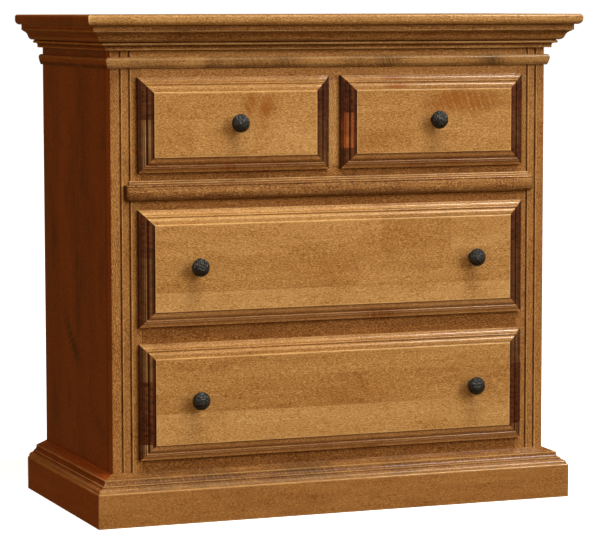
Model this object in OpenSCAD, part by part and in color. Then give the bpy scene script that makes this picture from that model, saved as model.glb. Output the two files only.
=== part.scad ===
// Chest of drawers in stained maple: two small drawers over two wide ones, crown moulding,
// half-round bead, moulded middle rail and plinth. Millimetres, +Z up.
// The origin is under the middle of the chest's outer box, on the floor. The front faces -Y.

/* [Case] */
// Width of the case, without its mouldings
body_w = 808; // [640:2:1000]
// Depth of the case from face frame to back
body_d = 406; // [340:1:500]
// Thickness of the top board
top_t = 18; // [14:1:24]
// Rounding of the top board's upper edge
top_edge_r = 4.5; // [2:0.5:6]
// Rounding of the top board's lower edge
top_under_r = 8.5; // [4:0.5:9]
// How far the top board stands out over the front and sides
top_overhang = 51; // [50:1:60]
// Thickness of the face frame
frame_t = 22; // [18:1:26]
// Thickness of the side panels
side_t = 18; // [14:1:22]
// Thickness of the back panel
back_t = 6; // [4:0.5:9]
// Width of the rebate that holds the back panel
back_rebate = 9; // [6:0.5:12]
// Height of the back panel's lower edge over the floor
back_rise = 20; // [10:1:60]
// Thickness of the panels between the drawers
shelf_t = 12; // [9:1:18]
// Thickness of the upright between the small drawers
partition_t = 18; // [12:1:24]

/* [Front layout] */
// Height of the plinth's flat face
plinth_h = 60; // [40:1:90]
// From the base moulding up to the lower drawer front
bottom_reveal = 20; // [14:1:40]
// Height of each wide drawer front
wide_front_h = 199; // [150:1:240]
// Between the two wide drawer fronts
wide_reveal = 29; // [24:1:60]
// Between the middle drawer front and the small ones
middle_reveal = 63; // [60:1:90]
// Height of each small drawer front
small_front_h = 161; // [120:1:200]
// From the small drawer fronts up to the top board
frieze_h = 87; // [80:1:120]
// From the side of the case to the drawer fronts
side_reveal = 47; // [42:1:70]
// Between the two small drawer fronts
centre_reveal = 22; // [16:1:50]

/* [Stile grooves] */
// From the side of the case to the outer groove
groove_first = 18; // [10:1:20]
// Between the two grooves
groove_pitch = 16; // [10:1:18]
// Width of a groove at the face
groove_w = 3.2; // [2:0.1:4]
// Depth of a groove
groove_depth = 2.4; // [1:0.1:3]
// Rounding of the case's front corners
corner_r = 2; // [0.5:0.1:4]

/* [Crown moulding] */
// How far the lowest fillet stands out from the frieze
crown_foot_out = 9.6; // [6:0.2:12]
// Height of the lowest fillet
crown_foot_h = 4.6; // [3:0.2:6]
// Radius of the small cove over it
crown_foot_r = 3.5; // [2:0.25:5]
// From the end of the small cove out to the middle of the bead
crown_bead_step = 2.5; // [2:0.25:4]
// Radius of the bead
crown_bead_r = 2.3; // [1.5:0.1:2.4]
// From the middle of the bead out to the foot of the ogee
crown_ogee_step = 3.2; // [2.4:0.2:5]
// Radius of the ogee's lower, round part
crown_round_r = 8.6; // [6:0.2:10]
// Radius of the ogee's upper, hollow part
crown_cove_r = 13.2; // [9:0.2:15]
// Small step out to the flat band
crown_step = 2.6; // [1:0.2:4]
// Height of the flat band under the top board
crown_band_h = 10.2; // [6:0.2:14]
// Short upright between two members of the crown
crown_fillet = 1.3; // [0.5:0.1:2]

/* [Bead on the frieze] */
// Height of the bead
astragal_h = 18.6; // [14:0.2:20]
// How far the bead stands out from the frieze
astragal_out = 7.5; // [6:0.5:10]
// How far it stands out near its lower edge
astragal_foot_out = 4.2; // [3:0.2:6]
// Radius of its upper round
astragal_r = 5; // [3:0.5:6]
// Rounding of its lower edge
astragal_edge_r = 1.5; // [0.5:0.25:2.5]
// How much its face swells
astragal_swell = 0.6; // [0.2:0.1:1]
// From the small drawer fronts up to the middle of the bead
astragal_rise = 24.5; // [20:0.5:26]

/* [Middle rail moulding] */
// From the middle drawer front up to the bar
bar_rise = 16; // [10:0.5:18]
// Height of the bar
bar_h = 27; // [18:0.5:28]
// How far the bar stands out
bar_out = 12; // [8:0.5:15]
// Rounding of the bar's lower edge
bar_round = 7; // [3:0.5:9]
// How much the bar's face swells
bar_swell = 0.6; // [0.2:0.1:1]
// Radius of the bead along the bar's upper edge
bar_bead_r = 2; // [1:0.25:3]
// Depth and height of the quirk under that bead
bar_quirk = 0.6; // [0.3:0.1:1]
// Rounding of the bar's ends
bar_end_r = 7; // [4:0.5:8]
// From the side of the case to the end of the bar
bar_inset = 24; // [20:1:40]
// Height of the strip over the bar
strip_h = 7; // [4:0.5:10]
// How far the strip stands out
strip_out = 4; // [2:0.5:6]
// From the end of the bar to the end of the strip
strip_inset = 8; // [4:1:16]

/* [Plinth] */
// How far the plinth stands out from the case
plinth_out = 36; // [30:1:44]
// Rounding of the plinth's upper edge
plinth_edge_r = 3; // [1:0.5:5]
// Height of the base moulding
base_h = 28; // [24:1:34]
// Step from the plinth's face in to the base moulding
base_set = 2.5; // [1:0.5:4]
// Radius of the round at the foot of the base moulding
base_round_r = 6; // [4:0.5:8]
// Step from that round in to the small upright face
base_step = 2.5; // [1:0.5:4]
// Height of the small upright face
base_face_h = 2.7; // [1:0.1:4]
// Radius of the hollow over it
base_cove_r = 7; // [5:0.5:8]
// How far the middle of that hollow lies outside the small upright face
base_cove_set = 1.5; // [0.5:0.25:3]
// Height of the sloping top of the base moulding
base_slope_h = 8; // [6:0.5:9]
// Height of the fillets under and over the round
base_fillet = 0.9; // [0.5:0.1:1.2]
// Height of the bottom rail's lower edge over the floor
rail_rise = 28; // [10:1:36]

/* [Drawer fronts] */
// How much a drawer front laps over its opening
lap = 7; // [5:0.5:9]
// Gap between a closed front and the face frame
front_gap = 0.5; // [0.3:0.1:1.5]
// Thickness of the front outside the face frame
front_out = 17.5; // [16:0.5:22]
// Thickness of the front inside its opening
front_in = 10; // [8:0.5:14]
// Thickness of the lip at its outer edge
lip_t = 7.5; // [6:0.5:9]
// Rounding along the edge of the lip
lip_round = 0.8; // [0.3:0.1:1.2]
// Width of the moulded border round the flat field
border_w = 25.5; // [24:0.5:34]
// Radius of the cove in the border
border_cove_r = 8; // [6:0.5:9]
// Radius of the bead in the border
border_bead_r = 1.7; // [1:0.1:2.5]
// Depth and width of the quirks beside that bead
border_quirk = 0.6; // [0.3:0.1:1]
// Radius of the round between the bead and the field
border_round_r = 6.5; // [5:0.5:8]
// Width of the steep step up to the field
border_step_w = 1; // [0.5:0.1:2]
// Height of that step
border_step_h = 2.2; // [1:0.1:3]

/* [Drawer boxes] */
// Space between a closed drawer and the back panel
behind_gap = 30.5; // [10:0.5:80]
// Thickness of the drawer sides and backs
box_t = 12; // [10:0.5:15]
// Thickness of the drawer bottoms
bottom_t = 6; // [4:0.5:8]
// Height of the groove's lower edge over the sides' lower edge
bottom_rise = 10; // [6:0.5:14]
// Depth of the groove for the bottom
bottom_groove = 6; // [4:0.5:7]
// Gap between a bottom and the end of its groove
bottom_play = 0.5; // [0.2:0.1:1]
// Gap over a bottom in its groove
bottom_slack = 0.2; // [0.1:0.05:0.4]
// Height that the back stays under the sides
back_drop = 6; // [3:0.5:10]
// Gap at each side of a drawer box
side_gap = 1; // [0.5:0.1:2]
// Gap under a drawer box
run_gap = 0.3; // [0.3:0.05:0.6]
// Gap over a drawer box
top_gap = 3; // [1:0.5:5]

/* [Guides] */
// Height of the strips that guide the drawers at their sides
guide_h = 18; // [10:1:24]
// Height of the strips that keep the drawers level
kicker_h = 16; // [10:1:24]
// How far those strips reach in over a drawer side
kicker_lap = 13; // [10:1:18]

/* [Knobs] */
// Diameter of a knob
knob_d = 32; // [26:0.5:38]
// How far a knob stands out from the field
knob_out = 30; // [24:0.5:31]
// Height of a knob's rounded front
knob_crown = 8; // [5:0.5:10]
// Thickness of a knob's rim below its rounded front
knob_rim = 5; // [3:0.5:7]
// Diameter of a knob's back, where its rim begins
knob_back_d = 25; // [19:0.5:26]
// Diameter of a knob's foot
knob_foot_d = 17; // [14:0.5:22]
// Thickness of a knob's foot
knob_foot_t = 3; // [2:0.5:5]
// Diameter of a knob's neck
knob_neck_d = 12; // [10:0.5:14]
// Distance of the knobs from the middle of a wide front
knob_spread = 257; // [180:1:270]
// Height of the knobs over the middle of their front
knob_rise = 2.5; // [-10:0.5:10]

/* [Screws] */
// Diameter of a knob screw
knob_screw_d = 4; // [3:0.5:5]
// How far a knob screw reaches into its knob
knob_screw_grip = 12; // [8:0.5:16]
// Diameter of a case screw
case_screw_d = 4.5; // [3.5:0.5:6]
// How far a case screw reaches into the top board
case_screw_grip = 11; // [6:0.5:12]
// Thickness of a screw's head
head_t = 2.5; // [2:0.25:3.5]
// Distance of the case screws from the sides, front and back of the case
case_screw_inset = 60; // [50:1:90]
// Gap round a screw in its hole
screw_gap = 0.1; // [0.05:0.05:0.3]

/* [Hidden] */
$fn = 48;

// Wood and metal colours
face_colour = [0.66, 0.45, 0.24];
field_colour = [0.75, 0.56, 0.33];
side_colour = [0.34, 0.15, 0.07];
moulding_colour = [0.52, 0.33, 0.17];
inner_colour = [0.80, 0.68, 0.48];
iron_colour = [0.13, 0.12, 0.11];
steel_colour = [0.62, 0.62, 0.60];

// Overlap that lets one cut run clean through another face
eps = 1;

// Planes of the case
half_w = body_w / 2;
front_y = -(body_d - top_overhang) / 2;
back_y = front_y + body_d;
inner_x = half_w - side_t;
inner_back_y = back_y - back_t;
stile_w = side_reveal + lap;
opening_x = half_w - stile_w;
divider_x = centre_reveal / 2 + lap;

// Heights of the drawer fronts and of the case
lower_front_z = plinth_h + base_h + bottom_reveal;
middle_front_z = lower_front_z + wide_front_h + wide_reveal;
small_front_z = middle_front_z + wide_front_h + middle_reveal;
case_z = small_front_z + small_front_h + frieze_h;

// Each drawer: name, left and right edge of its front, foot and height of its front, knob places
small_knob_x = (centre_reveal / 2 + half_w - side_reveal) / 2;
DRAWERS = [
    ["upper_left_drawer", side_reveal - half_w, -centre_reveal / 2, small_front_z, small_front_h,
        [-small_knob_x]],
    ["upper_right_drawer", centre_reveal / 2, half_w - side_reveal, small_front_z, small_front_h,
        [small_knob_x]],
    ["middle_drawer", side_reveal - half_w, half_w - side_reveal, middle_front_z, wide_front_h,
        [-knob_spread, knob_spread]],
    ["lower_drawer", side_reveal - half_w, half_w - side_reveal, lower_front_z, wide_front_h,
        [-knob_spread, knob_spread]]
];
function name_of(d) = d[0];
function left_of(d) = d[1];
function right_of(d) = d[2];
function foot_of(d) = d[3];
function top_of(d) = d[3] + d[4];
function knobs_of(d) = d[5];
function knob_z(d) = d[3] + d[4] / 2 + knob_rise;
// The opening behind a front, and the box that runs in it
function open_foot(d) = foot_of(d) + lap;
function open_top(d) = top_of(d) - lap;
function box_left(d) = left_of(d) + lap + side_gap;
function box_right(d) = right_of(d) - lap - side_gap;
function box_foot(d) = open_foot(d) + run_gap;
function box_top(d) = open_top(d) - top_gap;

small = DRAWERS[0];
middle = DRAWERS[2];
lower = DRAWERS[3];
lip_back_y = front_y - front_gap;
field_y = lip_back_y - front_out;
box_front_y = lip_back_y + front_in;
box_back_y = inner_back_y - behind_gap;

// Points along an arc, from angle a to angle b about a centre
arc_steps = 8;
function arc(centre, r, a, b) = [
    for (i = [0 : arc_steps])
        centre + r * [cos(a + (b - a) * i / arc_steps), sin(a + (b - a) * i / arc_steps)]
];

// Points along a shallow arc from p to q that swells to the right by the given height
function swell(p, q, rise) =
    let (
        chord = norm(q - p),
        r = (chord * chord / 4 + rise * rise) / (2 * rise),
        along = (q - p) / chord,
        side = [along[1], -along[0]],
        centre = (p + q) / 2 - side * (r - rise),
        half = asin(chord / 2 / r),
        outward = atan2(side[1], side[0])
    )
    arc(centre, r, outward - half, outward + half);

// Moulding outlines: first value is how far out, second is how high

// Crown, from its foot on the frieze up to the top board: fillet, small cove, bead, ogee and band.
// The round and the hollow of the ogee meet where its face leans out by this angle.
ogee_lean = 15;
crown_bead_x = crown_foot_out + crown_foot_r + crown_bead_step;
crown_bead_z = crown_foot_h + crown_foot_r + crown_bead_r;
crown_round_x = crown_bead_x + crown_ogee_step;
crown_round_z = crown_bead_z + crown_bead_r + crown_fillet + crown_round_r;
crown_cove_x = crown_round_x + (crown_round_r + crown_cove_r) * cos(ogee_lean);
crown_cove_z = crown_round_z - (crown_round_r + crown_cove_r) * sin(ogee_lean);
crown_lip_x = crown_cove_x - crown_cove_r * sin(ogee_lean);
crown_lip_z = crown_cove_z + crown_cove_r * cos(ogee_lean) + crown_fillet;
crown_out = crown_lip_x + crown_step;
crown_h = crown_lip_z + crown_band_h;
crown_outline = concat(
    [[0, 0], [crown_foot_out, 0]],
    arc([crown_foot_out + crown_foot_r, crown_foot_h], crown_foot_r, 180, 90),
    arc([crown_bead_x, crown_bead_z], crown_bead_r, -90, 90),
    [[crown_bead_x, crown_round_z - crown_round_r]],
    arc([crown_round_x, crown_round_z], crown_round_r, -90, -ogee_lean),
    arc([crown_cove_x, crown_cove_z], crown_cove_r, 180 - ogee_lean, 90 + ogee_lean),
    [
        [crown_lip_x, crown_lip_z],
        [crown_out, crown_lip_z],
        [crown_out, crown_h],
        [0, crown_h]
    ]
);

// Bead on the frieze, round above and leaning in below
astragal_outline = concat(
    [[0, 0]],
    arc([astragal_foot_out - astragal_edge_r, astragal_edge_r], astragal_edge_r, -90, 0),
    swell(
        [astragal_foot_out, astragal_edge_r],
        [astragal_out, astragal_h - astragal_r],
        astragal_swell
    ),
    arc([astragal_out - astragal_r, astragal_h - astragal_r], astragal_r, 0, 90),
    [[0, astragal_h]]
);

// Plinth board with its rounded upper edge
plinth_outline = concat(
    [[0, 0], [plinth_out, 0]],
    arc([plinth_out - plinth_edge_r, plinth_h - plinth_edge_r], plinth_edge_r, 0, 90),
    [[0, plinth_h]]
);

// Base moulding, from the plinth up to the case: round, upright face, hollow and slope
base_round_x = plinth_out - base_set - base_round_r;
base_face_x = base_round_x - base_step;
base_face_z = 2 * base_fillet + base_round_r;
base_cove_x = base_face_x + base_cove_set;
base_cove_turn = asin(base_cove_set / base_cove_r);
base_cove_z = base_face_z + base_face_h + base_cove_r * cos(base_cove_turn);
base_outline = concat(
    [[0, 0], [base_round_x + base_round_r, 0]],
    arc([base_round_x, base_fillet], base_round_r, 0, 90),
    [[base_round_x, base_face_z], [base_face_x, base_face_z]],
    arc([base_cove_x, base_cove_z], base_cove_r, 270 - base_cove_turn, 180),
    [[base_cove_x - base_cove_r, base_h - base_slope_h], [0, base_h]]
);

// Middle rail's bar, seen from the side: rounded foot, swelling face and a bead along the top.
// The rounded foot turns into the face at the first angle, and the bead starts at the second.
foot_turn = 20;
bead_turn = 70;
bar_bead_z = bar_h - bar_bead_r;
bar_outline = concat(
    [[0, 0]],
    arc([bar_out - bar_round, bar_round], bar_round, -90, -foot_turn),
    swell(
        [bar_out - bar_round * (1 - cos(foot_turn)), bar_round * (1 - sin(foot_turn))],
        [bar_out - bar_quirk, bar_bead_z - bar_bead_r - bar_quirk],
        bar_swell
    ),
    arc([bar_out - bar_bead_r, bar_bead_z], bar_bead_r, -bead_turn, 90),
    [[0, bar_h]]
);

// Two reeds over the bar, on one strip that reaches down behind it
reed_r = strip_h / 4;
strip_outline = concat(
    [[0, bar_h / 2], [strip_out - reed_r, bar_h / 2]],
    arc([strip_out - reed_r, bar_h + reed_r], reed_r, -90, 90),
    arc([strip_out - reed_r, bar_h + 3 * reed_r], reed_r, -90, 90),
    [[0, bar_h + strip_h]]
);

// Border of a drawer front: first value is the way in from the edge, second how thick
border_turn = 30;
bead_in = lip_round + border_cove_r + border_bead_r + border_quirk;
bead_z = lip_t + border_cove_r * (1 - sin(border_turn)) - border_quirk;
round_in = bead_in + border_bead_r + border_quirk + border_round_r;
round_z = front_out - border_step_h - border_round_r;
border_outline = concat(
    [[0, 0]],
    arc([lip_round, lip_t - lip_round], lip_round, 180, 90),
    arc([lip_round, lip_t + border_cove_r], border_cove_r, -90, -border_turn),
    arc([bead_in, bead_z], border_bead_r, 180, 0),
    arc([round_in, round_z], border_round_r, 180 - border_turn, 90),
    [[border_w - border_step_w, front_out - border_step_h], [border_w, front_out]]
);

module block(low, high) {
    translate(low) cube(high - low);
}

// An upright prism over a plan outline
module prism(outline, low, high) {
    translate([0, 0, low]) linear_extrude(high - low) polygon(outline);
}

// A moulding along the front of the case, mitred at both ends
module front_run(outline, z, out, high) {
    color(moulding_colour) intersection() {
        translate([-half_w - out, front_y, z]) rotate([90, 0, 90])
            linear_extrude(body_w + 2 * out) polygon([for (p = outline) [-p[0], p[1]]]);
        prism([
            [-half_w, front_y], [half_w, front_y],
            [half_w + out, front_y - out], [-half_w - out, front_y - out]
        ], z - high, z + high);
    }
}

// The same moulding along the right side, mitred at the front and square at the back
module right_run(outline, z, out, high) {
    color(moulding_colour) intersection() {
        translate([half_w, back_y, z]) rotate([90, 0, 0])
            linear_extrude(body_d + out) polygon(outline);
        prism([
            [half_w, front_y], [half_w + out, front_y - out],
            [half_w + out, back_y], [half_w, back_y]
        ], z - high, z + high);
    }
}

module left_run(outline, z, out, high) {
    mirror([1, 0, 0]) right_run(outline, z, out, high);
}

// Top board, rounded along its front and sides
module top_board() {
    width = body_w + 2 * top_overhang;
    edge_y = front_y - top_overhang;
    color(face_colour) difference() {
        intersection() {
            translate([-width / 2, 0, case_z]) rotate([90, 0, 90]) linear_extrude(width)
                polygon(concat(
                    arc([edge_y + top_under_r, top_under_r], top_under_r, 270, 180),
                    arc([edge_y + top_edge_r, top_t - top_edge_r], top_edge_r, 180, 90),
                    [[back_y, top_t], [back_y, 0]]
                ));
            translate([0, back_y, case_z]) rotate([90, 0, 0]) linear_extrude(back_y - edge_y)
                polygon(concat(
                    arc([width / 2 - top_under_r, top_under_r], top_under_r, -90, 0),
                    arc([width / 2 - top_edge_r, top_t - top_edge_r], top_edge_r, 0, 90),
                    arc([top_edge_r - width / 2, top_t - top_edge_r], top_edge_r, 90, 180),
                    arc([top_under_r - width / 2, top_under_r], top_under_r, 180, 270)
                ));
        }
        for (p = case_screw_places)
            translate([p[0], p[1], case_z - eps])
                cylinder(r = case_screw_d / 2 + screw_gap, h = case_screw_grip + screw_gap + eps);
    }
}

// Where the screws go up through the sub top
case_screw_places = [
    for (x = [case_screw_inset - half_w, 0, half_w - case_screw_inset])
        for (y = [front_y + case_screw_inset, back_y - case_screw_inset])
            [x + (x == 0 ? partition_t + case_screw_d : 0), y]
];

module top_screws() {
    color(steel_colour) for (p = case_screw_places) translate([p[0], p[1], case_z - shelf_t]) {
        cylinder(d = case_screw_d, h = shelf_t + case_screw_grip);
        translate([0, 0, -head_t]) cylinder(d = 2 * case_screw_d, h = head_t);
    }
}

// Board under the top, which the top is screwed to from below
module sub_top_panel() {
    color(inner_colour) difference() {
        block([-inner_x, front_y + frame_t, case_z - shelf_t], [inner_x, inner_back_y, case_z]);
        for (p = case_screw_places)
            translate([p[0], p[1], case_z - shelf_t - eps])
                cylinder(r = case_screw_d / 2 + screw_gap, h = shelf_t + 2 * eps);
    }
}

module crown_front() {
    front_run(crown_outline, case_z - crown_h, crown_out, crown_h);
}
module crown_left() {
    left_run(crown_outline, case_z - crown_h, crown_out, crown_h);
}
module crown_right() {
    right_run(crown_outline, case_z - crown_h, crown_out, crown_h);
}

astragal_z = small_front_z + small_front_h + astragal_rise - astragal_h / 2;
module astragal_front() {
    front_run(astragal_outline, astragal_z, astragal_out, astragal_h);
}
module astragal_left() {
    left_run(astragal_outline, astragal_z, astragal_out, astragal_h);
}
module astragal_right() {
    right_run(astragal_outline, astragal_z, astragal_out, astragal_h);
}

module plinth_front() {
    front_run(plinth_outline, 0, plinth_out, plinth_h);
}
module plinth_left() {
    left_run(plinth_outline, 0, plinth_out, plinth_h);
}
module plinth_right() {
    right_run(plinth_outline, 0, plinth_out, plinth_h);
}
module base_moulding_front() {
    front_run(base_outline, plinth_h, plinth_out, base_h);
}
module base_moulding_left() {
    left_run(base_outline, plinth_h, plinth_out, base_h);
}
module base_moulding_right() {
    right_run(base_outline, plinth_h, plinth_out, base_h);
}

// Upright of the face frame with its two grooves and rounded front corner
module stile_right() {
    inner = half_w - stile_w;
    grooves = [half_w - groove_first - groove_pitch, half_w - groove_first];
    color(face_colour) prism(concat(
        [[inner, front_y + frame_t], [inner, front_y]],
        [for (x = grooves, k = [-1, 0, 1])
            [x + k * groove_w / 2, front_y + (k == 0 ? groove_depth : 0)]],
        arc([half_w - corner_r, front_y + corner_r], corner_r, -90, 0),
        [[half_w, front_y + frame_t]]
    ), 0, case_z);
}
module stile_left() {
    mirror([1, 0, 0]) stile_right();
}

// Rail of the face frame between two heights
module rail(low, high) {
    color(face_colour) block([-opening_x, front_y, low], [opening_x, front_y + frame_t, high]);
}
module top_rail() {
    rail(open_top(small), case_z);
}
module middle_rail() {
    rail(open_top(middle), open_foot(small));
}
module lower_rail() {
    rail(open_top(lower), open_foot(middle));
}
module bottom_rail() {
    rail(rail_rise, open_foot(lower));
}
module drawer_divider() {
    color(face_colour)
        block([-divider_x, front_y, open_foot(small)], [divider_x, front_y + frame_t, open_top(small)]);
}

// Length of an outline seen from the side, run along the front on both sides of the middle
module along_front(outline, reach, z) {
    translate([-reach, front_y, z]) rotate([90, 0, 90])
        linear_extrude(2 * reach) polygon([for (p = outline) [-p[0], p[1]]]);
}

// Round-ended bar with its reeds, planted on the middle rail
module middle_rail_moulding() {
    bar_x = half_w - bar_inset;
    bar_z = top_of(middle) + bar_rise;
    color(moulding_colour) union() {
        intersection() {
            along_front(bar_outline, bar_x, bar_z);
            prism(concat(
                [[bar_x, front_y], [-bar_x, front_y]],
                arc([bar_end_r - bar_x, front_y - bar_out + bar_end_r], bar_end_r, 180, 270),
                arc([bar_x - bar_end_r, front_y - bar_out + bar_end_r], bar_end_r, 270, 360)
            ), bar_z, bar_z + bar_h);
            translate([0, front_y + eps, bar_z]) rotate([90, 0, 0]) linear_extrude(bar_out + 2 * eps)
                polygon(concat(
                    arc([bar_end_r - bar_x, bar_end_r], bar_end_r, 180, 270),
                    arc([bar_x - bar_end_r, bar_end_r], bar_end_r, 270, 360),
                    [[bar_x, bar_h], [-bar_x, bar_h]]
                ));
        }
        along_front(strip_outline, bar_x - strip_inset, bar_z);
    }
}

// Side of the case, rebated for the back panel
module side_panel_right() {
    color(side_colour) difference() {
        block([inner_x, front_y + frame_t, 0], [half_w, back_y, case_z]);
        block([inner_x - eps, inner_back_y, -eps], [inner_x + back_rebate, back_y + eps, case_z + eps]);
    }
}
module side_panel_left() {
    mirror([1, 0, 0]) side_panel_right();
}
module back_panel() {
    reach = inner_x + back_rebate;
    color(inner_colour) block([-reach, inner_back_y, back_rise], [reach, back_y, case_z]);
}

// Panel under a row of drawers, with its top at the given height
module shelf(top) {
    color(inner_colour)
        block([-inner_x, front_y + frame_t, top - shelf_t], [inner_x, inner_back_y, top]);
}
module upper_dust_panel() {
    shelf(open_foot(small));
}
module lower_dust_panel() {
    shelf(open_foot(middle));
}
module case_bottom_panel() {
    shelf(open_foot(lower));
}
module centre_partition() {
    color(inner_colour) block(
        [-partition_t / 2, front_y + frame_t, open_foot(small)],
        [partition_t / 2, inner_back_y, case_z - shelf_t]
    );
}

// A pair of strips along both sides of the case's middle, from one distance out to another
module strip_pair(near, far, low, high) {
    for (side = [0, 1])
        mirror([side, 0, 0]) block([near, front_y + frame_t, low], [far, inner_back_y, high]);
}

// Strips beside the drawers, flush with the edges of their openings
module drawer_guides() {
    color(inner_colour) {
        for (d = [lower, middle, small])
            strip_pair(opening_x, inner_x, open_foot(d), open_foot(d) + guide_h);
        strip_pair(partition_t / 2, divider_x, open_foot(small), open_foot(small) + guide_h);
    }
}

// Strips over the drawer sides, which stop an open drawer from tipping
module drawer_kickers() {
    color(inner_colour) {
        for (d = [lower, middle, small])
            strip_pair(opening_x - kicker_lap, inner_x, open_top(d), open_top(d) + kicker_h);
        strip_pair(partition_t / 2, divider_x + kicker_lap, open_top(small), open_top(small) + kicker_h);
    }
}

// Drawer front: a moulded border round a flat field, and a thinner part inside the opening
module drawer_front(d) {
    left = left_of(d);
    right = right_of(d);
    foot = foot_of(d);
    top = top_of(d);
    across = concat(
        [for (p = border_outline) [left + p[0], lip_back_y - p[1]]],
        [for (i = [len(border_outline) - 1 : -1 : 0])
            [right - border_outline[i][0], lip_back_y - border_outline[i][1]]]
    );
    upright = concat(
        [for (p = border_outline) [lip_back_y - p[1], foot + p[0]]],
        [for (i = [len(border_outline) - 1 : -1 : 0])
            [lip_back_y - border_outline[i][1], top - border_outline[i][0]]]
    );
    color(field_colour) difference() {
        union() {
            intersection() {
                prism(across, foot - eps, top + eps);
                translate([left - eps, 0, 0]) rotate([90, 0, 90])
                    linear_extrude(right - left + 2 * eps) polygon(upright);
            }
            block(
                [box_left(d) + box_t, lip_back_y - eps, box_foot(d)],
                [box_right(d) - box_t, box_front_y, box_top(d)]
            );
        }
        block(
            [box_left(d), box_front_y - bottom_groove, box_foot(d) + bottom_rise],
            [box_right(d), box_front_y + eps, box_foot(d) + bottom_rise + bottom_t + bottom_slack]
        );
        for (x = knobs_of(d))
            translate([x, box_front_y + eps, knob_z(d)]) rotate([90, 0, 0])
                cylinder(r = knob_screw_d / 2 + screw_gap, h = front_in + front_out + 2 * eps);
    }
}

// Side of a drawer, grooved on its inner face for the bottom
module drawer_side(d, side_x, groove_x) {
    groove_z = box_foot(d) + bottom_rise;
    color(inner_colour) difference() {
        block([side_x, lip_back_y, box_foot(d)], [side_x + box_t, box_back_y, box_top(d)]);
        block(
            [groove_x, box_front_y - bottom_groove, groove_z],
            [groove_x + bottom_groove + eps, box_back_y + eps, groove_z + bottom_t + bottom_slack]
        );
    }
}
module drawer_side_left(d) {
    drawer_side(d, box_left(d), box_left(d) + box_t - bottom_groove);
}
module drawer_side_right(d) {
    drawer_side(d, box_right(d) - box_t, box_right(d) - box_t - eps);
}

module drawer_back(d) {
    color(inner_colour) block(
        [box_left(d) + box_t, box_back_y - box_t, box_foot(d) + bottom_rise + bottom_t],
        [box_right(d) - box_t, box_back_y, box_top(d) - back_drop]
    );
}

module drawer_bottom(d) {
    reach = box_t - bottom_groove + bottom_play;
    color(inner_colour) block(
        [box_left(d) + reach, box_front_y - bottom_groove + bottom_play, box_foot(d) + bottom_rise],
        [box_right(d) - reach, box_back_y, box_foot(d) + bottom_rise + bottom_t]
    );
}

// Outline of a knob from its foot to its rounded front: radius and height
knob_r = knob_d / 2;
knob_neck_r = knob_neck_d / 2;
knob_foot_r = knob_foot_d / 2;
knob_rim_z = knob_out - knob_crown - knob_rim;
knob_dome_r = (knob_r * knob_r + knob_crown * knob_crown) / (2 * knob_crown);
knob_dome_half = asin(knob_r / knob_dome_r);
knob_outline = concat(
    [[0, 0], [knob_foot_r, 0], [knob_foot_r, knob_foot_t / 2], [knob_neck_r, knob_foot_t]],
    [[knob_neck_r, knob_rim_z - knob_foot_t], [knob_back_d / 2, knob_rim_z]],
    [[knob_r, knob_rim_z + knob_rim / 2], [knob_r, knob_rim_z + knob_rim]],
    arc([0, knob_out - knob_dome_r], knob_dome_r, 90 - knob_dome_half, 90)
);

module knobs(d) {
    color(iron_colour) for (x = knobs_of(d))
        translate([x, field_y, knob_z(d)]) rotate([90, 0, 0]) difference() {
            rotate_extrude() polygon(knob_outline);
            translate([0, 0, -eps])
                cylinder(r = knob_screw_d / 2 + screw_gap, h = knob_screw_grip + screw_gap + eps);
        }
}

// Screws from the inside of a drawer front into its knobs
module knob_screws(d) {
    length = front_in + front_out + knob_screw_grip;
    color(steel_colour) for (x = knobs_of(d)) translate([x, box_front_y, knob_z(d)]) {
        rotate([90, 0, 0]) cylinder(d = knob_screw_d, h = length);
        rotate([-90, 0, 0]) cylinder(d = 2 * knob_screw_d, h = head_t);
    }
}

top_board();
crown_front();
crown_left();
crown_right();
astragal_front();
astragal_left();
astragal_right();
stile_left();
stile_right();
top_rail();
middle_rail();
lower_rail();
bottom_rail();
drawer_divider();
middle_rail_moulding();
side_panel_left();
side_panel_right();
back_panel();
sub_top_panel();
upper_dust_panel();
lower_dust_panel();
case_bottom_panel();
centre_partition();
drawer_guides();
drawer_kickers();
plinth_front();
plinth_left();
plinth_right();
base_moulding_front();
base_moulding_left();
base_moulding_right();
top_screws();
for (d = DRAWERS) {
    knob_node = str(name_of(d), len(knobs_of(d)) > 1 ? "_knobs" : "_knob");
    screw_node = str(name_of(d), len(knobs_of(d)) > 1 ? "_knob_screws" : "_knob_screw");
    drawer_front(d);
    drawer_side_left(d);
    drawer_side_right(d);
    drawer_back(d);
    drawer_bottom(d);
    knobs(d);
    knob_screws(d);
}
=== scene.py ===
import math
import random

import bmesh
import bpy
from mathutils import Matrix, Vector, noise


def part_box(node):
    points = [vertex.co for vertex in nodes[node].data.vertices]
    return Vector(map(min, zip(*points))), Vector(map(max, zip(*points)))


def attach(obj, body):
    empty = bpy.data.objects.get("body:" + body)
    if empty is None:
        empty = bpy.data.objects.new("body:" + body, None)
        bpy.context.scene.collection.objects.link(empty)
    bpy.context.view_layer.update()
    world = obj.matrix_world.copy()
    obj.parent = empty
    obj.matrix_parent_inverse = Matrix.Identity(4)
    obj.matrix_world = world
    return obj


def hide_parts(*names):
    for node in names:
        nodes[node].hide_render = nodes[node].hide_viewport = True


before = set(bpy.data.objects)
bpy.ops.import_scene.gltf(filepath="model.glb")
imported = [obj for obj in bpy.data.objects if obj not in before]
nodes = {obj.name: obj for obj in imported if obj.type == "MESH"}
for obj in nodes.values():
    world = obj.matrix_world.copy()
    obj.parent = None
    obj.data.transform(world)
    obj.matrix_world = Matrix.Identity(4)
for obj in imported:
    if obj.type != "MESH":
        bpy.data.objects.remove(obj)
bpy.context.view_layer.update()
mm = 0.001
tiny = 1e-6
dice = random.Random(41)
ways = {"left": -1, "right": 1}
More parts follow.
